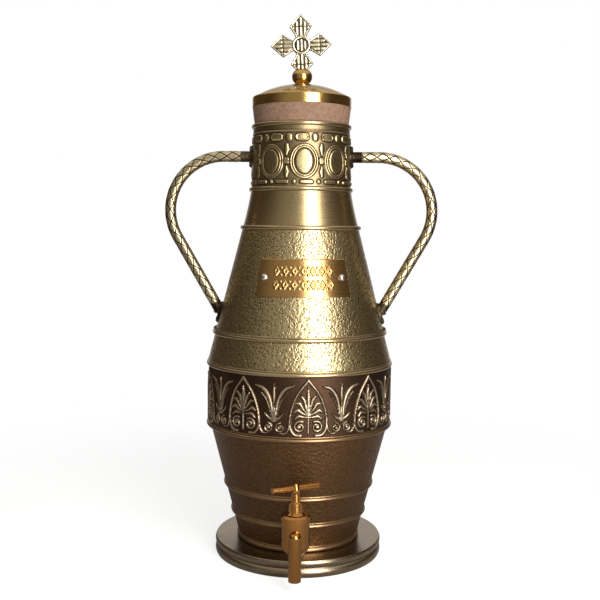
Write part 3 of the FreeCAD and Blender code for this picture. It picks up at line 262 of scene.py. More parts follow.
def pits_group() -> Tree:
    """Small scattered pits, as punch marks in metal or pores in cork.

    Returns:
        The node group.
    """
    inputs = {"Scale": 600.0, "Pit Size": 0.3, "Unevenness": 0.5}
    graph, take, give = new_group("small_pits", inputs, ("Pits", "Height"))
    place = graph.place()
    warp = graph.add("TexNoise", Vector=place, Scale=take["Scale"], Detail=2.0)
    cells = graph.add("TexVoronoi", Vector=place, Scale=take["Scale"], Randomness=1.0)
    distance = graph.plus(cells.outputs["Distance"], graph.swing(warp.outputs["Fac"], take["Unevenness"]))
    pit = graph.ramp(distance, graph.times(take["Pit Size"], 0.35), take["Pit Size"], 1.0, 0.0)
    graph.feed(give["Pits"], pit)
    graph.feed(give["Height"], graph.times(pit, -1.0))
    return graph.tree


def rubbing_group() -> Tree:
    """Fine marks of a polishing cloth, drawn out level across the object.

    Returns:
        The node group.
    """
    inputs = {"Scale": 700.0, "Stretch": 0.06, "Strength": 0.5}
    graph, take, give = new_group("polishing_marks", inputs, ("Marks", "Height"))
    apart = graph.add("SeparateXYZ", Vector=graph.place()).outputs
    drawn = {axis: graph.times(apart[axis], take["Stretch"]) for axis in (0, 1)}
    swirl = graph.feed_all(graph.add("CombineXYZ"), {**drawn, 2: apart[2]}).outputs[0]
    noise = graph.add("TexNoise", Vector=swirl, Scale=take["Scale"], Detail=4.0, Roughness=0.7)
    marks = graph.swing(noise.outputs["Fac"], take["Strength"])
    graph.feed(give["Marks"], marks)
    graph.feed(give["Height"], marks)
    return graph.tree


def start_material(name: str) -> tuple[Material, Graph, bpy.types.Node]:
    """Starts a node material.

    Args:
        name: the material's name.

    Returns:
        The material, its graph and its shader node.
    """
    made = bpy.data.materials.new(name)
    made.use_nodes = True
    return made, Graph(made.node_tree), made.node_tree.nodes["Principled BSDF"]


# ---------------------------------------------------------------- finishes


@dataclass(frozen=True)
class Finish:
    """The finish of one slot, built as a node material around the shared groups."""

    slot: Slot
    metallic: ClassVar[float] = 0.0

    def surface(self, graph: Graph, groups: dict[str, Tree], carved: bool) -> Surface:
        """Adds the nodes that make up the finish.

        Args:
            graph: the material's graph.
            groups: the shared node groups by name.
            carved: whether the piece carries its own relief values, which only metal uses.

        Returns:
            The colour, roughness and bump height sockets, and the bump's depth in millimetres.
        """
        raise NotImplementedError

    def material(self, groups: dict[str, Tree], carved: bool) -> Material:
        """Builds the node material.

        Args:
            groups: the shared node groups by name.
            carved: whether the piece carries its own relief values.

        Returns:
            The material.
        """
        made, graph, shader = start_material(f"{self.slot.value}{'_carved' if carved else ''}")
        colour, rough, height, depth = self.surface(graph, groups, carved)
        bump = graph.add("Bump", Strength=1.0, Distance=depth * MM, Height=height)
        graph.feed_all(shader, {
            "Metallic": self.metallic,
            "Base Color": colour,
            "Roughness": rough,
            "Normal": bump.outputs["Normal"],
        })
        return made


@dataclass(frozen=True)
class MetalFinish(Finish):
    """A brass or steel finish: its colours, its gloss and how it has aged."""

    rubbed: Colour
    ground: Colour
    stain: Colour
    gloss: float
    matt: float
    stain_amount: float = 0.4
    stain_scale: float = 18.0
    rub_from: float = 0.3
    rub_to: float = 0.8
    relief: float = 0.6
    grain_scale: float = 900.0
    grain_depth: float = 0.03
    pit_scale: float = 0.0
    pit_size: float = 0.3
    pit_colour: Colour = (0.02, 0.012, 0.008)
    pit_share: float = 0.7
    mark_scale: float = 0.0
    mark_strength: float = 0.3
    # The low colour is painted reflection: the metal is darker below low_below, standing in for a dark floor
    # seen in it.
    painted_low_reflection: Optional[Colour] = None
    low_below: float = 0.15
    low_dulling: float = 0.0
    metallic: ClassVar[float] = 1.0

    def surface(self, graph: Graph, groups: dict[str, Tree], carved: bool) -> Surface:
        """Adds the aged metal with its pits and polishing marks, as Finish.surface says."""
        values = {label: getattr(self, label.lower().replace(" ", "_")) for label in AGED_INPUTS}
        values["Painted Low Reflection"] = self.painted_low_reflection or self.rubbed
        if carved:
            values["Relief"] = graph.add("Attribute", {"attribute_name": "relief"}).outputs["Fac"]
        aged = graph.group(groups["aged_metal"], values)
        colour, rough, height = aged["Color"], aged["Roughness"], aged["Height"]
        if self.pit_scale:
            pits = graph.group(groups["small_pits"], {"Scale": self.pit_scale, "Pit Size": self.pit_size})
            colour = graph.blend(graph.times(pits["Pits"], self.pit_share), colour, self.pit_colour)
            height = graph.plus(graph.times(height, PITTED_GRAIN), pits["Height"])
        if self.mark_scale:
            values = {"Scale": self.mark_scale, "Strength": self.mark_strength}
            marks = graph.group(groups["polishing_marks"], values)
            rough = graph.plus(rough, marks["Marks"], clamp=True)
            height = graph.plus(height, marks["Height"])
        return colour, rough, height, self.grain_depth


@dataclass(frozen=True)
class SoftFinish(Finish):
    """Cork or leather: a matt ground with darker flecks and pores."""

    ground: Colour
    fleck: Colour
    pale: Colour
    fleck_scale: float
    roughness: float
    pore_scale: float
    pore_depth: float
    relief: float = 0.55
    pale_amount: float = 0.6
    fleck_from: float = 0.25
    fleck_to: float = 0.6
    dulling: float = 0.08
    pore_size: float = 0.22
    pore_share: float = 0.45

    def surface(self, graph: Graph, groups: dict[str, Tree], carved: bool) -> Surface:
        """Adds the ground with its flecks and pores, which look the same on every piece."""
        aged = graph.group(groups["aged_metal"], {
            "Relief": self.relief, "Ground": self.fleck, "Rubbed": self.ground, "Stain": self.pale,
            "Stain Scale": self.fleck_scale, "Stain Amount": self.pale_amount,
            "Rub From": self.fleck_from, "Rub To": self.fleck_to,
            "Gloss": self.roughness, "Matt": self.roughness + self.dulling, "Grain Scale": self.pore_scale,
        })
        pores = graph.group(groups["small_pits"], {"Scale": self.pore_scale, "Pit Size": self.pore_size})
        colour = graph.blend(graph.times(pores["Pits"], self.pore_share), aged["Color"], self.fleck)
        return colour, aged["Roughness"], graph.plus(aged["Height"], pores["Height"]), self.pore_depth


# Each low colour below is painted reflection: the metal made darker towards the bottom.
FINISHES: tuple[Finish, ...] = (
    MetalFinish(
        Slot.SMOOTH, rubbed=(0.42, 0.33, 0.17), ground=(0.14, 0.08, 0.04), stain=(0.26, 0.14, 0.06),
        gloss=0.25, matt=0.4, stain_amount=0.5, rub_from=0.25, rub_to=0.75,
        mark_scale=500.0, mark_strength=0.1, painted_low_reflection=(0.31, 0.25, 0.17),
    ),
    MetalFinish(
        Slot.HAMMERED, rubbed=(0.47, 0.375, 0.20), ground=(0.09, 0.05, 0.022), stain=(0.27, 0.14, 0.055),
        gloss=0.3, matt=0.42, stain_amount=0.45, stain_scale=12.0, rub_from=0.1, rub_to=0.7,
        grain_depth=0.13, pit_scale=520.0, pit_size=0.5, pit_share=0.85, pit_colour=(0.07, 0.038, 0.018),
        painted_low_reflection=(0.15, 0.08, 0.036), low_dulling=0.16,
    ),
    MetalFinish(
        Slot.FIGURED, rubbed=(0.47, 0.37, 0.19), ground=(0.055, 0.03, 0.018), stain=(0.19, 0.10, 0.05),
        gloss=0.3, matt=0.44, stain_scale=22.0, rub_from=0.12, rub_to=0.9,
        grain_depth=0.05, painted_low_reflection=(0.38, 0.30, 0.20), low_below=0.24, low_dulling=0.04,
    ),
    MetalFinish(
        Slot.HOOP, rubbed=(0.55, 0.43, 0.24), ground=(0.12, 0.07, 0.035), stain=(0.26, 0.13, 0.055),
        gloss=0.24, matt=0.38, stain_scale=24.0, painted_low_reflection=(0.34, 0.21, 0.11), low_dulling=0.06,
    ),
    MetalFinish(
        Slot.HANDLE, rubbed=(0.50, 0.42, 0.26), ground=(0.02, 0.012, 0.007), stain=(0.20, 0.14, 0.07),
        gloss=0.3, matt=0.46, stain_amount=0.45, stain_scale=25.0, rub_from=0.1, rub_to=0.6,
    ),
    MetalFinish(
        Slot.PLATE, rubbed=(0.52, 0.31, 0.115), ground=(0.06, 0.03, 0.012), stain=(0.34, 0.17, 0.06),
        gloss=0.2, matt=0.34, stain_scale=30.0, rub_from=0.1, rub_to=0.6,
        mark_scale=600.0, mark_strength=0.1,
    ),
    MetalFinish(
        Slot.POLISHED, rubbed=(0.68, 0.46, 0.16), ground=(0.33, 0.17, 0.05), stain=(0.44, 0.24, 0.08),
        gloss=0.12, matt=0.24, stain_amount=0.5, stain_scale=30.0, mark_scale=800.0, mark_strength=0.06,
        painted_low_reflection=(0.42, 0.18, 0.05),
    ),
    MetalFinish(
        Slot.CROSS, rubbed=(0.66, 0.59, 0.43), ground=(0.05, 0.035, 0.015), stain=(0.35, 0.27, 0.14),
        gloss=0.24, matt=0.42, stain_scale=60.0, rub_from=0.2,
    ),
    MetalFinish(
        Slot.STEEL, rubbed=(0.72, 0.71, 0.69), ground=(0.32, 0.30, 0.27), stain=(0.5, 0.46, 0.4),
        gloss=0.2, matt=0.35, stain_amount=0.3, stain_scale=80.0, mark_scale=900.0, mark_strength=0.1,
    ),
    SoftFinish(
        Slot.CORK, ground=(0.19, 0.105, 0.06), fleck=(0.06, 0.03, 0.018), pale=(0.25, 0.145, 0.09),
        fleck_scale=320.0, roughness=0.75, pore_scale=700.0, pore_depth=0.3,
    ),
    SoftFinish(
        Slot.GASKET, ground=(0.10, 0.055, 0.035), fleck=(0.03, 0.018, 0.012), pale=(0.16, 0.09, 0.06),
        fleck_scale=200.0, roughness=0.6, pore_scale=900.0, pore_depth=0.1,
    ),
)


class Finisher:
    """Builds each finish once and lays it on pieces and CAD nodes."""

    def __init__(self) -> None:
        """Makes the shared node groups."""
        self.groups = {tree.name: tree for tree in (aged_metal_group(), pits_group(), rubbing_group())}
        self.finishes = {finish.slot: finish for finish in FINISHES}
        self.made: dict[tuple[Slot, bool], Material] = {}

    def material(self, slot: Slot, carved: bool) -> Material:
        """Gives the slot's material, built on its first use.

        Args:
            slot: the finish.
            carved: whether the piece carries its own relief values.

        Returns:
            The material.
        """
        key = (slot, carved)
        if key not in self.made:
            self.made[key] = self.finishes[slot].material(self.groups, carved)
        return self.made[key]

    def dress(self, piece: Piece, slot: Slot, body: Body, *replaced: str) -> None:
        """Gives a new piece its finish, its body and the nodes that it stands for.

        Args:
            piece: the new mesh object.
            slot: its finish.
            body: the body that it moves with.
            *replaced: the CAD nodes that it stands for.
        """
        piece.data.materials.append(self.material(slot, True))
        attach(piece, body.value)
        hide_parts(*replaced)
        LOG.info("%s: %d faces", piece.name, len(piece.data.polygons))

    def dress_nodes(self) -> None:
        """Gives every CAD node its slot's material."""
        for part in frame["record"]["subparts"]:
            node = frame["nodes"][part["node"]]
            finish = self.material(Slot(part["material_slot"]), False)
            if not node.material_slots:
                node.data.materials.append(finish)
            for holder in node.material_slots:
                holder.material = finish


# ---------------------------------------------------------------- mesh helpers


def mesh_object(name: str, points: Array, faces: Iterable, relief: Array) -> Piece:
    """Makes a smooth-shaded mesh object from points in millimetres.

    Args:
        name: the piece's name.
        points: one row of x, y and z for each vertex.
        faces: vertex numbers of each face.
        relief: how rubbed each vertex is, from 0 to 1, with painted shade in the hollows of some pieces.

    Returns:
        The object, linked into the scene.
    """
    mesh = bpy.data.meshes.new(name)
    mesh.from_pydata((points * MM).tolist(), [], [list(face) for face in faces])
    mesh.validate()
    values = mesh.attributes.new("relief", "FLOAT", "POINT")
    values.data.foreach_set("value", np.ascontiguousarray(relief, dtype=np.float32))
    mesh.shade_smooth()
    mesh.set_sharp_from_angle(angle=SHARP_ANGLE)
    piece = bpy.data.objects.new(name, mesh)
    bpy.context.scene.collection.objects.link(piece)
    return piece


def grid_faces(rows: int, columns: int, close_rows: bool, close_columns: bool, first: int = 0) -> Array:
    """Numbers the quads of a grid of vertices.

    Args:
        rows: number of rows.
        columns: vertices in a row.
        close_rows: whether the last row joins the first.
        close_columns: whether each row is a ring.
        first: number of the grid's first vertex.

    Returns:
        One row of four vertex numbers for each quad.
    """
    row = np.arange(rows if close_rows else rows - 1)
    column = np.arange(columns if close_columns else columns - 1)
    r, c = (a.ravel() for a in np.meshgrid(row, column, indexing="ij"))
    r2, c2 = (r + 1) % rows, (c + 1) % columns
    return first + np.stack([r * columns + c, r * columns + c2, r2 * columns + c2, r2 * columns + c], axis=1)


def slab_faces(rows: int, columns: int, first: int = 0) -> Array:
    """Numbers the faces of a closed slab, made of a front grid, a back grid and the edge between them.

    Args:
        rows: number of rows.
        columns: vertices in a row.
        first: number of the slab's first vertex.

    Returns:
        One row of four vertex numbers for each face.
    """
    size = rows * columns
    index = np.arange(size).reshape(rows, columns)
    loop = np.concatenate([index[0, :-1], index[:-1, -1], index[-1, :0:-1], index[:0:-1, 0]])
    after = np.roll(loop, -1)
    return np.vstack([
        grid_faces(rows, columns, False, False, first),
        grid_faces(rows, columns, False, False, first + size)[:, ::-1],
        first + np.stack([after, loop, size + loop, size + after], axis=1),
    ])


def disc_faces(rings: int, steps: int, first: int = 0) -> Array:
    """Numbers the faces of a closed disc with a bore, made of a front and a back of rings.

    Args:
        rings: number of rings, counted from the bore.
        steps: vertices in a ring.
        first: number of the disc's first vertex.

    Returns:
        One row of four vertex numbers for each face.
    """
    size, last = rings * steps, (rings - 1) * steps
    rim = np.arange(steps)
    after = (rim + 1) % steps
    return np.vstack([
        grid_faces(rings, steps, False, True, first),
        grid_faces(rings, steps, False, True, first + size)[:, ::-1],
        first + last + np.stack([rim, after, size + after, size + rim], axis=1),
        first + np.stack([rim, size + rim, size + after, after], axis=1),
    ])


def polar_grid(reach: Array, steps: int) -> tuple[Array, Array, Array, Array]:
    """Lays rings of points around a disc's middle.

    Args:
        reach: radius of each ring.
        steps: points in a ring.

    Returns:
        The radius, the angle, the distance across and the height of each point.
    """
    turn = np.linspace(0.0, FULL_TURN, steps, endpoint=False)
    rho, phi = np.meshgrid(reach, turn, indexing="ij")
    return rho, phi, rho * np.sin(phi), rho * np.cos(phi)


def two_sided(across: Array, depth: Array, up: Array) -> Array:
    """Lays the same relief on the front and on the back of a flat piece.

    Args:
        across: distance of each point from the middle line.
        depth: how far each point stands off the middle plane.
        up: height of each point.

    Returns:
        One row of x, y and z for each point, the front's before the back's.
    """
    return np.vstack([np.stack([across, y, up], axis=-1).reshape(-1, 3) for y in (-depth, depth)])


def ring_points(radius: Array, height: Array, angle: Array) -> Array:
    """Places radius and height values around the urn's axis.

    Args:
        radius: radius of each point.
        height: height of each point.
        angle: angle of each point to the right of the tap, in radians.

    Returns:
        One row of x, y and z for each point.
    """
    radius, height, angle = np.broadcast_arrays(radius, height, angle)
    return np.stack([radius * np.sin(angle), -radius * np.cos(angle), height], axis=-1).reshape(-1, 3)


def smooth_line(nodes: Array, count: int) -> Array:
    """Draws a smooth curve through the points.

    Args:
        nodes: the points that the curve passes.
        count: number of points on the curve.

    Returns:
        The curve's points.
    """
    padded = np.vstack([2 * nodes[0] - nodes[1], nodes, 2 * nodes[-1] - nodes[-2]])
    place = np.linspace(0, len(nodes) - 1, count)
    step = np.minimum(place.astype(int), len(nodes) - 2)
    t = (place - step)[:, None]
    a, b, c, d = (padded[step + k] for k in range(4))
    return 0.5 * (2 * b + (c - a) * t + (2 * a - 5 * b + 4 * c - d) * t**2 + (3 * b - a - 3 * c + d) * t**3)


# ---------------------------------------------------------------- ornament


VOLUTE_STEPS = 25
VOLUTE_TURNS = 1.5
VOLUTE_CLOSING = 0.8
VOLUTE_EYE = 0.24
PUNCH_SCATTER = 0.9
PUNCH_SIZE = (0.3, 0.25)
PUNCH_DEPTH = (0.45, 0.55)


@dataclass(frozen=True)
class Line:
    """A round-backed line of an ornament, with its points measured from the motif's middle."""

    points: Sequence[Point]
    widths: Sequence[float]
    height: float = 1.0
    curved: bool = True


@dataclass
class Ornament:
    """Raised work over a grid, from 0 on the ground to 1 at the highest, drawn motif by motif."""

    along: Array
    up: Array
    circumference: float
    height: Array = field(init=False)
    across: Array = field(init=False)

    def __post_init__(self) -> None:
        """Starts from an empty ground, measured from the tap."""
        self.height = np.zeros_like(self.along)
        self.across = self.along

    @classmethod
    def on_grid(cls, radius: float, heights: Array, angles: Array) -> "Ornament":
        """Lays an empty ground on a round wall.

        Args:
            radius: the wall's mean radius.
            heights: height of each row.
            angles: angle of each column, in radians.

        Returns:
            The empty ornament.
        """
        along = np.broadcast_to(angles[None, :] * radius, (len(heights), len(angles)))
        return cls(along, np.broadcast_to(heights[:, None], along.shape), FULL_TURN * radius)

    def aim(self, count: int, start_degrees: float, mirrored: bool = False) -> None:
        """Turns to a row of equal motifs, so that the next lines are measured from their middles.

        Args:
            count: number of motifs around the band.
            start_degrees: angle of the first one, to the right of the tap.
            mirrored: whether each line is drawn on both sides of the middle.
        """
        pitch = self.circumference / count
        shift = self.circumference * start_degrees / 360.0
        across = (self.along - shift + pitch / 2) % pitch - pitch / 2
        self.across = np.abs(across) if mirrored else across

    def from_ends(self) -> Array:
        """Gives each point's distance from the nearer end, below or above it."""
        return np.minimum(self.up - self.up[0, 0], self.up[-1, 0] - self.up)

    def fade(self, margin: float) -> Array:
        """Gives a share that falls from 1 to 0 over a margin at both ends."""
        return np.clip(self.from_ends() / margin, 0, 1)

    def raise_to(self, heights: Array) -> None:
        """Keeps the higher of what is there and what is given."""
        self.height = np.maximum(self.height, heights)

    def from_centre(self, centre: Point, radii: Point) -> tuple[Array, Array]:
        """Measures each point from an oval's middle, in its half width and half height."""
        return (self.across - centre[0]) / radii[0], (self.up - centre[1]) / radii[1]

    def stroke(self, line: Line) -> None:
        """Raises a line, smoothed where it is curved."""
        path = np.array(line.points, dtype=float)
        if line.curved and len(path) > 2:
            path = smooth_line(path, 5 * len(path))
        spread = np.interp(np.linspace(0, 1, len(path)), np.linspace(0, 1, len(line.widths)), line.widths)
        low, high = path.min(axis=0) - max(line.widths), path.max(axis=0) + max(line.widths)
        near = (self.across > low[0]) & (self.across < high[0]) & (self.up > low[1]) & (self.up < high[1])
        x, z = self.across[near], self.up[near]
        found = np.zeros_like(x)
        for p, q, wp, wq in zip(path[:-1], path[1:], spread[:-1], spread[1:]):
            step = q - p
            t = np.clip(((x - p[0]) * step[0] + (z - p[1]) * step[1]) / max(step @ step, 1e-9), 0, 1)
            gap = (x - p[0] - t * step[0]) ** 2 + (z - p[1] - t * step[1]) ** 2
            found = np.maximum(found, np.clip(1 - gap / (wp + (wq - wp) * t) ** 2, 0, 1))
        best = np.zeros_like(self.height)
        best[near] = line.height * np.sqrt(found)
        self.raise_to(best)

    def ring(self, centre: Point, radii: Point, width: float, height: float) -> None:
        """Raises a round-backed oval line.

        Args:
            centre: the oval's middle.
            radii: its half width and half height.
            width: half the line's width.
            height: how high its back stands.
        """
        x, z = self.from_centre(centre, radii)
        reach = np.sqrt(x**2 + z**2) + 1e-6
        slope = np.sqrt((x / radii[0]) ** 2 + (z / radii[1]) ** 2) / reach + 1e-6
        gap = (reach - 1) / slope
        self.raise_to(height * np.sqrt(np.clip(1 - (gap / width) ** 2, 0, 1)))

    def dome(self, centre: Point, radii: Point, height: float = 1.0, flat: float = 2.0) -> None:
        """Raises an oval boss.

        Args:
            centre: the boss's middle.
            radii: its half width and half height.
            height: how high it stands.
            flat: how flat its back is, where 2 is round.
        """
        x, z = self.from_centre(centre, radii)
        self.raise_to(height * np.sqrt(np.clip(1 - np.sqrt(x**2 + z**2) ** flat, 0, 1)))

    def bar(self, centre: Point, half: Point, corner: float, rim: float = 0.0) -> None:
        """Raises a bar with round ends, and a raised rim where one is asked for.

        Args:
            centre: the bar's middle.
            half: half its length and half its height.
            corner: radius of its corners.
            rim: width of the rim around a lower middle.
        """
        x = np.abs(self.across - centre[0]) - (half[0] - corner)
        z = np.abs(self.up - centre[1]) - (half[1] - corner)
        inside = corner - np.hypot(np.maximum(x, 0), np.maximum(z, 0)) - np.minimum(np.maximum(x, z), 0)
        edge = np.clip(inside / 0.7, 0, 1)
        if rim:
            edge = edge * (1 - 0.55 * np.clip((inside - rim) / 0.8, 0, 1))
        self.raise_to(np.sqrt(np.clip(edge, 0, 1)))

    def volute(self, eye: Point, radius: float, width: float, start: float, sense: int) -> None:
        """Raises a spiral line that winds one and a half turns in to its eye.

        Args:
            eye: the spiral's middle.
            radius: its outer radius.
            width: half the line's width.
            start: angle of its outer end, in degrees.
            sense: 1 to wind anticlockwise, -1 clockwise.
        """
        t = np.linspace(0, 1, VOLUTE_STEPS)
        angle = math.radians(start) + sense * t * VOLUTE_TURNS * FULL_TURN
        reach = radius * (1 - VOLUTE_CLOSING * t)
        path = [(eye[0] + r * math.cos(a), eye[1] + r * math.sin(a)) for r, a in zip(reach, angle)]
        self.stroke(Line(path, (width, width * 0.8), curved=False))
        self.dome(eye, (radius * VOLUTE_EYE, radius * VOLUTE_EYE))

    def cavity(self, passes: int) -> Array:
        """Finds how deep each point lies below its surroundings.

        Args:
            passes: number of blurring passes, which widen the surroundings.

        Returns:
            The depth at each grid point, from 0 to 1.
        """
        soft = self.height.copy()
        for _ in range(passes):
            soft = (soft + np.roll(soft, 1, 1) + np.roll(soft, -1, 1)) / 3
            padded = np.pad(soft, ((1, 1), (0, 0)), mode="edge")
            soft = (padded[:-2] + padded[1:-1] + padded[2:]) / 3
        return np.clip(soft - self.height, 0, 1)

    def punched(self, spacing: float, seed: int) -> Array:
        """Scatters round punch marks.

        Args:
            spacing: usual distance between two marks.
            seed: start of the random draws.

        Returns:
            Their depth at each grid point, from 0 to 1.
        """
        low = self.up.min()
        columns = round(self.circumference / spacing)
        rows = int(np.ceil((self.up.max() - low) / spacing)) + 3
        jitter = np.random.default_rng(seed).random((rows, columns, 4))
        cell_u = self.along / self.circumference * columns
        cell_z = (self.up - low) / spacing + 1
        base_u, base_z = np.floor(cell_u).astype(int), np.floor(cell_z).astype(int)
        depth = np.zeros_like(self.along)
        for du, dz in product((-1, 0, 1), repeat=2):
            mark = jitter[np.clip(base_z + dz, 0, rows - 1), (base_u + du) % columns]
            x = cell_u - (base_u + du + 0.5 + PUNCH_SCATTER * (mark[..., 0] - 0.5))
            z = cell_z - (base_z + dz + 0.5 + PUNCH_SCATTER * (mark[..., 1] - 0.5))
            size = PUNCH_SIZE[0] + PUNCH_SIZE[1] * mark[..., 2]
            strength = PUNCH_DEPTH[0] + PUNCH_DEPTH[1] * mark[..., 3]
            depth = np.maximum(depth, np.clip(1 - (x**2 + z**2) / size**2, 0, 1) * strength)
        return depth


# ---------------------------------------------------------------- walls and bands


@dataclass
class Shell:
    """A sheet wall of the urn, turned from an outline and worked on its outer face."""

    name: str
    outline: Sequence[Point]
    sheet: float = 0.8
    around: int = 640
    rows: int = 146
    inner_rows: int = 3
    inner_relief: float = 0.45

    def grid(self) -> tuple[Array, Array, Array]:
        """Lays a grid over the outer face.

        Returns:
            The radius and height of each row, and the angle of each column.
        """
        outline = np.array(self.outline)
        heights = np.linspace(outline[0, 1], outline[-1, 1], self.rows)
        radii = np.interp(heights, outline[:, 1], outline[:, 0])
        return radii, heights, np.linspace(0.0, FULL_TURN, self.around, endpoint=False)

    def ground(self) -> Ornament:
        """Lays an empty ornament over the outer face."""
        radii, heights, angles = self.grid()
        return Ornament.on_grid(float(radii.mean()), heights, angles)

    def build(self, lift: Array, relief: Array) -> Piece:
        """Builds the wall with its outer face lifted and its inner face smooth.

        Args:
            lift: how far each outer point moves outwards, in millimetres.
            relief: how rubbed each outer point is, from 0 to 1, with painted shade in the hollows on some
                bands.

        Returns:
            The object.
        """
        radii, heights, angles = self.grid()
        outer = ring_points(radii[:, None] + lift, heights[:, None], angles[None, :])
        keys = np.array(self.outline)
        inner_heights = keys[::-1, 1]
        if len(keys) == 2:
            inner_heights = np.linspace(heights[-1], heights[0], self.inner_rows)
        inner_radii = np.interp(inner_heights, keys[:, 1], keys[:, 0]) - self.sheet
        inner = ring_points(inner_radii[:, None], inner_heights[:, None], angles[None, :])
        faces = grid_faces(self.rows + len(inner_heights), self.around, True, True)
        rubbed = np.concatenate([relief.ravel(), np.full(len(inner), self.inner_relief)])
        return mesh_object(self.name, np.vstack([outer, inner]), faces, rubbed)


@dataclass
class HammeredWalls:
    """The two tapering walls, covered with small punch marks over broad shallow ones."""

    lower: Sequence[Point] = ((55.5, 15.05), (83.19, 121.5), (84.55, 124.6), (84.55, 128.6))
    upper: Sequence[Point] = ((84.55, 177.1), (84.55, 181.1), (85.33, 184.2), (78.7, 210.0), (54.01, 305.95))
    lower_seed: int = 11
    upper_seed: int = 23
    spacing: float = 3.0
    depth: float = 0.28
    broad_spacing: float = 12.0
    swell: float = 0.05
    margin: float = 3.0

    def build(self, finisher: Finisher) -> None:
        """Builds and dresses both walls."""
        walls = (("lower_wall", self.lower, self.lower_seed), ("upper_wall", self.upper, self.upper_seed))
        for node, outline, seed in walls:
            shell = Shell(f"{node}_hammered", outline)
            work = shell.ground()
            marks = work.punched(self.spacing, seed)
            broad = work.punched(self.broad_spacing, seed + 1)
            lift = -(self.depth * marks + self.swell * broad) * work.fade(self.margin)
            relief = np.clip(0.85 - 0.45 * marks - 0.08 * broad, 0, 1)
            finisher.dress(shell.build(lift, relief), Slot.HAMMERED, Body.VESSEL, node)


LEAF_WIDTHS = (0.6, 1.1, 1.45, 0.7)
PALMETTE = (
    Line(((0.0, 176.6), (3.0, 172.6), (7.4, 167.2), (11.4, 160.2), (14.6, 150.5), (16.0, 141.5),
          (15.2, 134.0), (11.6, 129.2), (6.4, 128.6)), (1.15, 1.0, 1.0, 1.2, 1.3)),
    Line(((0.6, 148.6), (2.2, 154.0), (3.6, 159.6), (6.6, 163.2)), LEAF_WIDTHS),
    Line(((0.9, 147.6), (4.6, 152.0), (7.4, 156.2), (10.9, 156.6)), LEAF_WIDTHS),
    Line(((0.9, 146.4), (5.6, 148.4), (9.2, 150.6), (12.6, 148.6)), LEAF_WIDTHS),
    Line(((0.9, 144.9), (5.0, 145.0), (8.6, 145.4), (12.0, 142.6)), LEAF_WIDTHS),
    Line(((0.0, 146.0), (0.0, 152.0), (0.0, 162.0), (0.0, 169.6)), (0.7, 1.2, 2.0, 0.3)),
    Line(((0.0, 147.0), (0.0, 131.0)), (1.0, 0.8)),
)
LOTUS = (
    Line(((0.0, 142.0), (0.0, 156.0), (0.0, 167.0), (0.0, 173.6)), (0.9, 0.9, 1.5, 0.3)),
    Line(((1.2, 144.0), (2.4, 154.0), (5.2, 162.6), (10.2, 168.8), (17.0, 171.2)), (0.9, 1.4, 1.7, 1.5, 0.6)),
    Line(((2.6, 145.0), (4.2, 152.6), (7.4, 160.0), (11.6, 165.0)), (0.4, 0.6, 0.7, 0.4), height=0.75),
    Line(((0.3, 141.6), (4.4, 143.4), (8.2, 147.2)), (1.5, 1.2, 0.5)),
    Line(((13.6, 139.6), (12.4, 133.4), (9.4, 130.0), (5.6, 130.4)), (0.8, 0.8, 0.7)),
)


@dataclass
class BellyBand:
    """The belly band, with palmettes in pointed arches and lotus flowers between them."""

    outline: Sequence[Point] = ((85.4, 124.6), (85.4, 181.1))
    motifs: int = 9
    start_degrees: float = 6.6
    rise: float = 1.05
    sink: float = 0.25
    stipple_spacing: float = 1.9
    stipple_seed: int = 31
    margin: float = 1.5

    def draw(self, work: Ornament) -> None:
        """Draws the arches with their leaves, the flowers, and two volutes on each."""
        work.aim(self.motifs, self.start_degrees, mirrored=True)
        for line in PALMETTE:
            work.stroke(line)
        work.volute(eye=(7.3, 136.2), radius=5.2, width=1.05, start=120.0, sense=-1)
        work.aim(self.motifs, self.start_degrees + 180.0 / self.motifs, mirrored=True)
        for line in LOTUS:
            work.stroke(line)
        work.dome(centre=(0.0, 141.0), radii=(2.6, 1.7))
        work.volute(eye=(5.4, 134.9), radius=4.2, width=0.85, start=90.0, sense=1)

    def build(self, finisher: Finisher) -> None:
        """Builds and dresses the band."""
        shell = Shell("belly_band_figured", self.outline, around=846, rows=108)
        work = shell.ground()
        self.draw(work)
        stipple = work.punched(self.stipple_spacing, self.stipple_seed)
        lift = self.rise * work.height - self.sink * (1 - work.height) * (0.6 + 0.4 * stipple)
        relief = np.clip(0.12 + 0.75 * work.height**1.4 - 0.1 * stipple, 0, 1)
        band = shell.build(lift * work.fade(self.margin), relief)
        finisher.dress(band, Slot.FIGURED, Body.VESSEL, "belly_band", "belly_frieze")


TEARDROPS = (
    Line(((0.0, 378.6), (0.0, 375.0), (0.0, 369.6)), (1.7, 2.5, 0.7), curved=False),
    Line(((0.0, 360.4), (0.0, 355.4), (0.0, 351.4)), (0.7, 2.4, 1.4), curved=False),
)


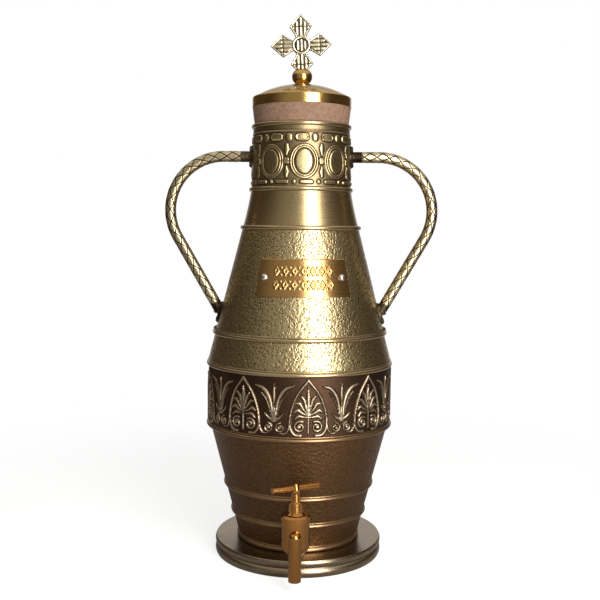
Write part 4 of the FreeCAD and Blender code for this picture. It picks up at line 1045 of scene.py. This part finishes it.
@dataclass
class NeckBand:
    """The neck band, with ovals, teardrops, and rows of bars and beads."""

    outline: Sequence[Point] = ((46.3, 340.9), (44.5, 400.3))
    ovals: int = 9
    top_bars: int = 12
    low_bars: int = 13
    oval_start: float = 4.4
    bar_start: float = 2.0
    low_start: float = 7.0
    oval_centre: Point = (0.0, 364.6)
    top_centre: Point = (0.0, 385.6)
    line_height: float = 391.0
    rise: float = 0.95
    sink: float = 0.2
    margin: float = 1.5

    def draw(self, work: Ornament) -> None:
        """Draws the hollowed ovals, what stands between them, the two rows and the upper line."""
        work.aim(self.ovals, self.oval_start)
        work.ring(self.oval_centre, radii=(12.0, 14.4), width=0.95, height=0.6)
        work.ring(self.oval_centre, radii=(9.9, 12.5), width=0.9, height=0.7)
        work.dome(self.oval_centre, radii=(8.0, 10.9), height=0.9, flat=4.0)
        x, z = work.from_centre(self.oval_centre, (6.6, 9.6))
        work.height = work.height - 0.45 * np.clip(1 - x**2 - z**2, 0, 1) ** 0.7
        work.aim(self.ovals, self.oval_start + 180.0 / self.ovals)
        for line in TEARDROPS:
            work.stroke(line)
        work.bar(centre=(0.0, 364.8), half=(2.7, 3.0), corner=2.0)
        work.aim(self.top_bars, self.bar_start)
        work.bar(self.top_centre, half=(6.3, 3.4), corner=3.2, rim=1.0)
        work.aim(self.top_bars, self.bar_start + 180.0 / self.top_bars)
        work.dome(self.top_centre, radii=(3.1, 3.6))
        work.aim(self.low_bars, self.low_start)
        work.bar(centre=(0.0, 346.6), half=(6.2, 1.7), corner=1.5)
        work.aim(self.low_bars, self.low_start + 180.0 / self.low_bars)
        work.dome(centre=(0.0, 346.8), radii=(2.0, 2.0))
        work.raise_to(0.6 * np.exp(-(((work.up - self.line_height) / 0.7) ** 2)))

    def build(self, finisher: Finisher) -> None:
        """Builds and dresses the band, whose ground is plain above the upper line."""
        shell = Shell("neck_band_figured", self.outline, around=684, rows=136)
        work = shell.ground()
        self.draw(work)
        plain = np.clip((work.up - self.line_height - 0.6) / 0.8, 0, 1)
        lift = self.rise * work.height - self.sink * (1 - work.height) * (1 - plain)
        # Painted shade: the ground darkens in the hollows around the raised work, like ambient occlusion.
        relief = np.clip(0.5 + 0.35 * work.height - 1.9 * work.cavity(4), 0, 1)
        band = shell.build(lift * work.fade(self.margin), relief)
        finisher.dress(band, Slot.FIGURED, Body.VESSEL, "neck_band")


# ---------------------------------------------------------------- handles


@dataclass
class Handles:
    """The two bow handles, plaited from crossing strands, with their round plates."""

    rod: float = 4.75
    skin: float = 0.4
    groove: float = 0.3
    pitch: float = 46.0
    strands: int = 4
    line: float = 0.5
    plain_end: float = 9.0
    neck: float = 45.373
    run_height: float = 371.5
    run: float = 26.6
    bend: float = 50.0
    sweep_degrees: float = 120.0
    seat: Point = (74.57, 226.0)
    neck_tilt: float = math.radians(1.7)
    seat_tilt: float = math.radians(14.42)
    plate_radius: float = 10.5
    plate_depth: float = 3.0
    plate_sunk: float = 0.3
    leg_share: float = 0.985
    run_steps: int = 80
    bow_steps: int = 320
    leg_steps: int = 290
    around: int = 96

    def path(self) -> Array:
        """Points along the handle's middle line, from the neck to the wall.

        Returns:
            One row of distance from the axis and height for each point.
        """
        end = self.neck + self.run
        ahead = np.linspace(self.neck + 1.0, end, self.run_steps, endpoint=False)
        start = np.stack([ahead, np.full(self.run_steps, self.run_height)], axis=1)
        angles = np.radians(90.0 - np.linspace(0.0, self.sweep_degrees, self.bow_steps))
        out, rise = np.cos(angles), np.sin(angles) - 1.0
        bow = np.stack([end + self.bend * out, self.run_height + self.bend * rise], axis=1)
        shares = np.linspace(0, self.leg_share, self.leg_steps)[1:, None]
        return np.vstack([start, bow, bow[-1] + (np.array(self.seat) - bow[-1]) * shares])

    def rod_mesh(self, name: str, side: int) -> Piece:
        """Sweeps the plaited rod of one handle, plain near its two ends.

        Args:
            name: the piece's name.
            side: 1 for the right handle, -1 for the left.

        Returns:
            The object.
        """
        path = self.path()
        step = np.gradient(path, axis=0)
        step /= np.linalg.norm(step, axis=1)[:, None]
        run = np.concatenate([[0.0], np.cumsum(np.linalg.norm(np.diff(path, axis=0), axis=1))])
        turn = np.linspace(0.0, FULL_TURN, self.around, endpoint=False)[None, :]
        twist = FULL_TURN * run[:, None] / self.pitch
        first, second = (np.abs(np.sin(self.strands * (turn + way * twist) / 2)) for way in (1, -1))
        weave = np.sin(np.clip(np.minimum(first, second) / self.line, 0, 1) * math.pi / 2)
        from_end = np.minimum(run - self.plain_end, run[-1] - self.plain_end - run)
        woven = np.clip(from_end / 3.0, 0, 1)[:, None]
        pillow = weave * woven + 0.6 * (1 - woven)
        radius = self.rod + self.skin - self.groove * (1 - pillow)
        relief = weave**3 * woven + 0.15 * (1 - woven)
        x = side * (path[:, :1] - radius * step[:, 1:] * np.cos(turn))
        y = side * radius * np.sin(turn)
        z = path[:, 1:] + radius * step[:, :1] * np.cos(turn)
        size = len(path) * self.around
        faces = [tuple(f) for f in grid_faces(len(path), self.around, False, True)[:, ::-1]]
        faces += [tuple(range(self.around)), tuple(range(size - self.around, size))[::-1]]
        return mesh_object(name, np.stack([x, y, z], axis=-1).reshape(-1, 3), faces, relief.ravel())

    def plate_mesh(self, name: str, side: int) -> Piece:
        """Builds the two petalled plates of one handle, shaped to the walls that carry them.

        Args:
            name: the piece's name.
            side: 1 for the right handle, -1 for the left.

        Returns:
            The object.
        """
        reach = np.concatenate([np.linspace(4.0, 9.2, 12), np.linspace(9.5, self.plate_radius, 6)])
        rho, phi, across, up = polar_grid(reach, self.around)
        petals = np.abs(np.cos(4 * phi)) ** 0.5
        body = np.clip((self.plate_radius - rho) / 1.6, 0, 1) ** 0.5
        height = self.plate_depth * body * (0.62 + 0.38 * petals * np.clip((rho - 4.5) / 3.0, 0, 1))
        relief = np.clip(0.05 + 0.25 * petals * body, 0, 1)
        parts, marks, faces = [], [], []
        for centre, tilt in (((self.neck, self.run_height), self.neck_tilt), (self.seat, self.seat_tilt)):
            faces.append(disc_faces(*rho.shape, first=rho.size * len(parts)))
            fall = centre[0] - np.sqrt(centre[0] ** 2 - across**2)
            for depth, mark in ((height - fall, relief), (-self.plate_sunk - fall, relief * 0)):
                x = centre[0] + depth * math.cos(tilt) - up * math.sin(tilt)
                z = centre[1] + depth * math.sin(tilt) + up * math.cos(tilt)
                parts.append(np.stack([side * x, side * across, z], axis=-1).reshape(-1, 3))
                marks.append(mark.ravel())
        return mesh_object(name, np.vstack(parts), np.vstack(faces), np.concatenate(marks))

    def build(self, finisher: Finisher) -> None:
        """Builds and dresses both handles and their plates."""
        for word, side in (("right", 1), ("left", -1)):
            rod = self.rod_mesh(f"handle_{word}_plaited", side)
            finisher.dress(rod, Slot.HANDLE, Body.VESSEL, f"handle_{word}")
            plates = self.plate_mesh(f"rosettes_{word}_petalled", side)
            finisher.dress(plates, Slot.HANDLE, Body.VESSEL, f"rosettes_{word}")


# ---------------------------------------------------------------- cross and plate


def turned(degrees: float) -> Array:
    """Gives the matrix that turns rows of points about the line from front to back."""
    return np.array(Matrix.Rotation(math.radians(degrees), 3, "Y")).T


@dataclass
class Cross:
    """The cross on the lid: four barbed arms around a ring, with raised rims and ribs."""

    base_height: float = 451.5
    centre_rise: float = 21.7
    lean_degrees: float = 2.8
    arm: float = 28.0
    foot_arm: float = 21.9
    waist_at: float = 9.5
    waist: float = 5.6
    barb_at: float = 17.0
    barb: float = 10.4
    root_at: float = 6.0
    root: float = 4.6
    tip: float = 0.15
    thickness: float = 2.8
    arm_relief: float = 0.55
    rib_pitch: float = 3.6
    ring_radius: float = 8.6
    ring_thickness: float = 4.4
    ring_relief: float = 0.9
    ring_rib_pitch: float = 3.4
    ring_steps: int = 96
    rows: int = 72
    columns: int = 48

    def arm_points(self, length: float) -> tuple[Array, Array]:
        """Lays out one arm, pointing up from the cross's middle.

        Args:
            length: distance of the arm's tip from the middle.

        Returns:
            The points of the front and back faces, and how rubbed each one is.
        """
        up = np.linspace(self.root_at, length, self.rows)
        stations = (self.root_at, self.waist_at, self.barb_at, self.arm)
        width = np.interp(up, stations, (self.root, self.waist, self.barb, self.tip))
        share = np.linspace(-1, 1, self.columns)
        across = width[:, None] * share[None, :]
        tall = np.broadcast_to(up[:, None], across.shape)
        inset = (1 - np.abs(share))[None, :] * width[:, None] * 0.8
        rim = np.exp(-(((inset - 0.9) / 0.65) ** 2))
        ribs = 0.5 + 0.5 * np.cos(across * FULL_TURN / self.rib_pitch)
        past = tall - self.barb_at
        cross_line = np.exp(-((past / 0.55) ** 2))
        slanted = np.exp(-(((np.abs(across) - past * 0.55) / 0.5) ** 2)) * (past > 0)
        panel = np.clip((inset - 1.6) / 0.6, 0, 1) * (0.15 + 0.75 * ribs)
        panel = panel * (1 - 0.85 * cross_line) * (1 - 0.5 * slanted)
        raised = np.clip(np.maximum(rim, panel), 0, 1)
        edge = np.clip(inset / 0.5, 0, 1) ** 0.5
        depth = (self.thickness / 2 - self.arm_relief * (1 - raised)) * edge + 0.02
        return two_sided(across, depth, tall), np.tile((raised * edge).ravel(), 2)

    def ring_mesh(self) -> tuple[Array, Array, Array]:
        """Lays out the round middle, with a raised rim around a ribbed panel.

        Returns:
            Its points, how rubbed each one is and its faces.
        """
        rho, _, across, up = polar_grid(np.linspace(0.02, self.ring_radius, 34), self.ring_steps)
        rim = np.sqrt(np.clip(1 - ((rho - 7.3) / 1.25) ** 2, 0, 1))
        ribs = 0.5 + 0.5 * np.cos(across * FULL_TURN / self.ring_rib_pitch)
        raised = np.maximum(rim, np.clip((5.6 - rho) / 0.6, 0, 1) * (0.3 + 0.6 * ribs))
        edge = np.clip((self.ring_radius - rho) / 0.4, 0, 1) ** 0.5
        depth = (self.ring_thickness / 2 - self.ring_relief * (1 - raised)) * (0.35 + 0.65 * edge)
        faces = disc_faces(*rho.shape)[:, ::-1]
        return two_sided(across, depth, up), np.tile((raised * edge).ravel(), 2), faces

    def build(self, finisher: Finisher) -> None:
        """Builds and dresses the cross."""
        parts, reliefs, faces = ([item] for item in self.ring_mesh())
        first = len(parts[0])
        for degrees, length in ((0, self.arm), (90, self.arm), (180, self.foot_arm), (270, self.arm)):
            points, relief = self.arm_points(length)
            parts.append(points @ turned(degrees))
            reliefs.append(relief)
            faces.append(slab_faces(self.rows, self.columns, first))
            first += len(points)
        placed = np.vstack(parts) + np.array([0.0, 0.0, self.centre_rise])
        placed = placed @ turned(-self.lean_degrees) + np.array([0.0, 0.0, self.base_height])
        cross = mesh_object("cross_ribbed", placed, np.vstack(faces), np.concatenate(reliefs))
        finisher.dress(cross, Slot.CROSS, Body.STOPPER, "cross")


@dataclass
class Nameplate:
    """The plate on the upper wall, with two rows of lozenges between beads."""

    bottom: float = 246.0
    top: float = 279.0
    middle_degrees: float = 3.9
    sweep_degrees: float = 73.0
    gap: float = 0.05
    sheet: float = 0.8
    thin_edge: float = 0.15
    rise: float = 0.6
    row_heights: Point = (268.4, 256.6)
    row_reach: float = 26.0
    pitch: float = 8.0
    lozenge: Point = (3.0, 4.8)
    core: Point = (1.4, 2.4)
    bead_offset: float = 3.1
    bead_radius: float = 1.2
    wall_low: Point = (78.7, 210.0)
    wall_high: Point = (54.01, 305.95)
    around: int = 300
    rows: int = 120

    def wall_radius(self, height: Array | float) -> Array:
        """Gives the radius of the wall behind the plate at a height."""
        return np.interp(height, (self.wall_low[1], self.wall_high[1]), (self.wall_low[0], self.wall_high[0]))

    def draw(self, work: Ornament) -> None:
        """Draws the lozenges, each with a sunk core, and the beads above and below them."""
        within = np.abs(work.along) < self.row_reach
        near = np.abs((work.along + self.pitch / 2) % self.pitch - self.pitch / 2)
        bead = work.along % self.pitch - self.pitch / 2
        for row in self.row_heights:
            beyond = np.abs(work.up - row)
            lozenge, core = (np.clip(1 - near / x - beyond / z, 0, 1) for x, z in (self.lozenge, self.core))
            shaped = np.clip(lozenge * 4.0, 0, 1) - 0.6 * np.clip(core * 3.0, 0, 1)
            work.raise_to(np.where(within, shaped, 0))
            for place in (row - self.bead_offset, row + self.bead_offset):
                far = (bead**2 + (work.up - place) ** 2) / self.bead_radius**2
                work.raise_to(np.where(within, np.sqrt(np.clip(1 - far, 0, 1)), 0))

    def build(self, finisher: Finisher) -> None:
        """Builds and dresses the plate."""
        half = math.radians(self.sweep_degrees / 2)
        angles = np.linspace(-half, half, self.around)
        middle = float(self.wall_radius((self.bottom + self.top) / 2))
        work = Ornament.on_grid(middle, np.linspace(self.bottom, self.top, self.rows), angles)
        self.draw(work)
        inset = np.minimum(half * middle - np.abs(work.along), work.from_ends())
        edge = np.clip(inset / 0.4, 0, 1) ** 0.5
        radius = self.wall_radius(work.up) + self.gap
        thickness = self.thin_edge + (self.sheet - self.thin_edge) * edge + self.rise * work.height
        placed = angles[None, :] + math.radians(self.middle_degrees)
        points = np.vstack([ring_points(r, work.up, placed) for r in (radius + thickness, radius)])
        # Painted shade on top of the wear: the plate darkens in the hollows around the lozenges and beads,
        # like ambient occlusion.
        wear_and_shade = np.clip(0.55 + 0.3 * work.height - 1.8 * work.cavity(3), 0, 1)
        relief = np.concatenate([wear_and_shade.ravel(), np.full(wear_and_shade.size, 0.5)])
        plate = mesh_object("nameplate_lozenges", points, slab_faces(self.rows, self.around), relief)
        finisher.dress(plate, Slot.PLATE, Body.VESSEL, "nameplate")


# ---------------------------------------------------------------- studio


def stand(name: str, data: bpy.types.ID, spot: Vector, aim: Vector, roll_degrees: float = 0.0) -> Piece:
    """Stands a camera or a lamp in the scene.

    Args:
        name: the object's name.
        data: the camera or the light.
        spot: where it stands.
        aim: the point that it faces.
        roll_degrees: its turn about the line to that point.

    Returns:
        The object.
    """
    made = bpy.data.objects.new(name, data)
    facing = (aim - spot).to_track_quat("-Z", "Y").to_matrix().to_4x4()
    roll = Matrix.Rotation(math.radians(roll_degrees), 4, "Z")
    made.matrix_world = Matrix.Translation(spot) @ facing @ roll
    bpy.context.scene.collection.objects.link(made)
    return made


@dataclass
class Studio:
    """Camera, lamp, world and floor, in metres."""

    distance: float = 0.8303
    azimuth_degrees: float = 1.2
    eye_height: float = 0.3065
    pitch_degrees: float = 4.7
    roll_degrees: float = 0.55
    lens: float = 53.1
    lamp_degrees: float = 25.0
    lamp_distance: float = 0.66
    lamp_bottom: float = 0.03
    lamp_top: float = 0.86
    lamp_width: float = 0.32
    lamp_power: float = 8.8
    lamp_colour: Colour = (0.98, 0.985, 1.0)
    floor_radius: float = 0.7
    floor_steps: int = 96

    def camera(self) -> None:
        """Sets the camera at the photograph's angle."""
        turn = math.radians(self.azimuth_degrees)
        eye = Vector((self.distance * math.sin(turn), -self.distance * math.cos(turn), self.eye_height))
        drop = self.distance * math.tan(math.radians(self.pitch_degrees))
        lens = bpy.data.cameras.new("camera")
        lens.lens = self.lens
        lens.sensor_width = 36.0
        aim = Vector((0.0, 0.0, self.eye_height - drop))
        bpy.context.scene.camera = stand("camera", lens, eye, aim, self.roll_degrees)

    def lamp(self) -> None:
        """Stands a tall soft lamp to the right of the tap, facing the urn."""
        light = bpy.data.lights.new("strip_right", "AREA")
        light.shape = "RECTANGLE"
        light.size = self.lamp_width
        light.size_y = self.lamp_top - self.lamp_bottom
        light.energy = self.lamp_power
        light.color = self.lamp_colour
        turn = math.radians(self.lamp_degrees)
        height = (self.lamp_bottom + self.lamp_top) / 2
        spot = Vector((self.lamp_distance * math.sin(turn), -self.lamp_distance * math.cos(turn), height))
        stand("strip_right", light, spot, Vector((0.0, 0.0, height))).visible_camera = False

    def world(self) -> None:
        """Gives a white background, a white backdrop in reflections and a dim room in front."""
        world = bpy.data.worlds.new("studio")
        bpy.context.scene.world = world
        world.use_nodes = True
        graph = Graph(world.node_tree)
        seen, mirror = graph.rays()
        facing = graph.add("SeparateXYZ", Vector=graph.add("TexCoord").outputs["Generated"]).outputs
        front = graph.ramp(facing[1], -0.98, -0.25, 1.0, 0.0)
        room = graph.blend(front, (0.09, 0.068, 0.05), (0.42, 0.40, 0.35))
        room = graph.blend(graph.ramp(facing[2], 0.3, 0.85), room, (0.95, 0.92, 0.85))
        mirrored = graph.blend(graph.ramp(facing[1], 0.8, 1.0), room, (1.0, 1.0, 1.0))
        colour = graph.blend(mirror, (0.55, 0.55, 0.55), mirrored)
        colour = graph.blend(seen, colour, (1.0, 1.0, 1.0))
        graph.feed_all(world.node_tree.nodes["Background"], {"Color": colour, "Strength": 1.0})

    def floor(self) -> None:
        """Lays the pale floor, which fades out into the background and is painted darker near the urn where
        the metal reflects it.
        """
        angles = np.linspace(0, FULL_TURN, self.floor_steps, endpoint=False)
        points = ring_points(np.array(self.floor_radius / MM), np.array(-0.05), angles)
        faces = [tuple(range(self.floor_steps))[::-1]]
        floor = mesh_object("floor", points, faces, np.full(self.floor_steps, 0.75))
        made, graph, shader = start_material("floor_pale")
        seen, mirror = graph.rays()
        reach = graph.add("VectorMath", {"operation": "LENGTH"})
        reach = graph.feed_all(reach, {0: graph.place()}).outputs["Value"]
        # Painted shade: in reflections the floor's glow fades out within 0.15 to 0.6 m of the urn.
        lit = graph.math("MAXIMUM", seen, graph.times(mirror, graph.ramp(reach, 0.15, 0.6)))
        graph.feed_all(shader, {
            "Base Color": (0.34, 0.33, 0.32),
            "Roughness": 0.9,
            "Specular IOR Level": 0.0,
            "Emission Strength": 1.0,
            "Emission Color": graph.blend(lit, (0.0, 0.0, 0.0), (0.74, 0.74, 0.74)),
            "Alpha": graph.ramp(reach, 0.3, self.floor_radius * 0.97, 1.0, 0.0),
        })
        floor.data.materials.append(made)

    def build(self) -> None:
        """Sets up the whole studio."""
        self.camera()
        self.world()
        self.floor()
        self.lamp()
        bpy.context.scene.view_settings.view_transform = "Standard"


def main() -> None:
    """Builds every piece of the urn in order."""
    logging.basicConfig(level=logging.INFO)
    finisher = Finisher()
    finisher.dress_nodes()
    for assembly in (HammeredWalls(), BellyBand(), NeckBand(), Handles(), Cross(), Nameplate()):
        assembly.build(finisher)
    Studio().build()


if __name__ == "__main__":
    main()
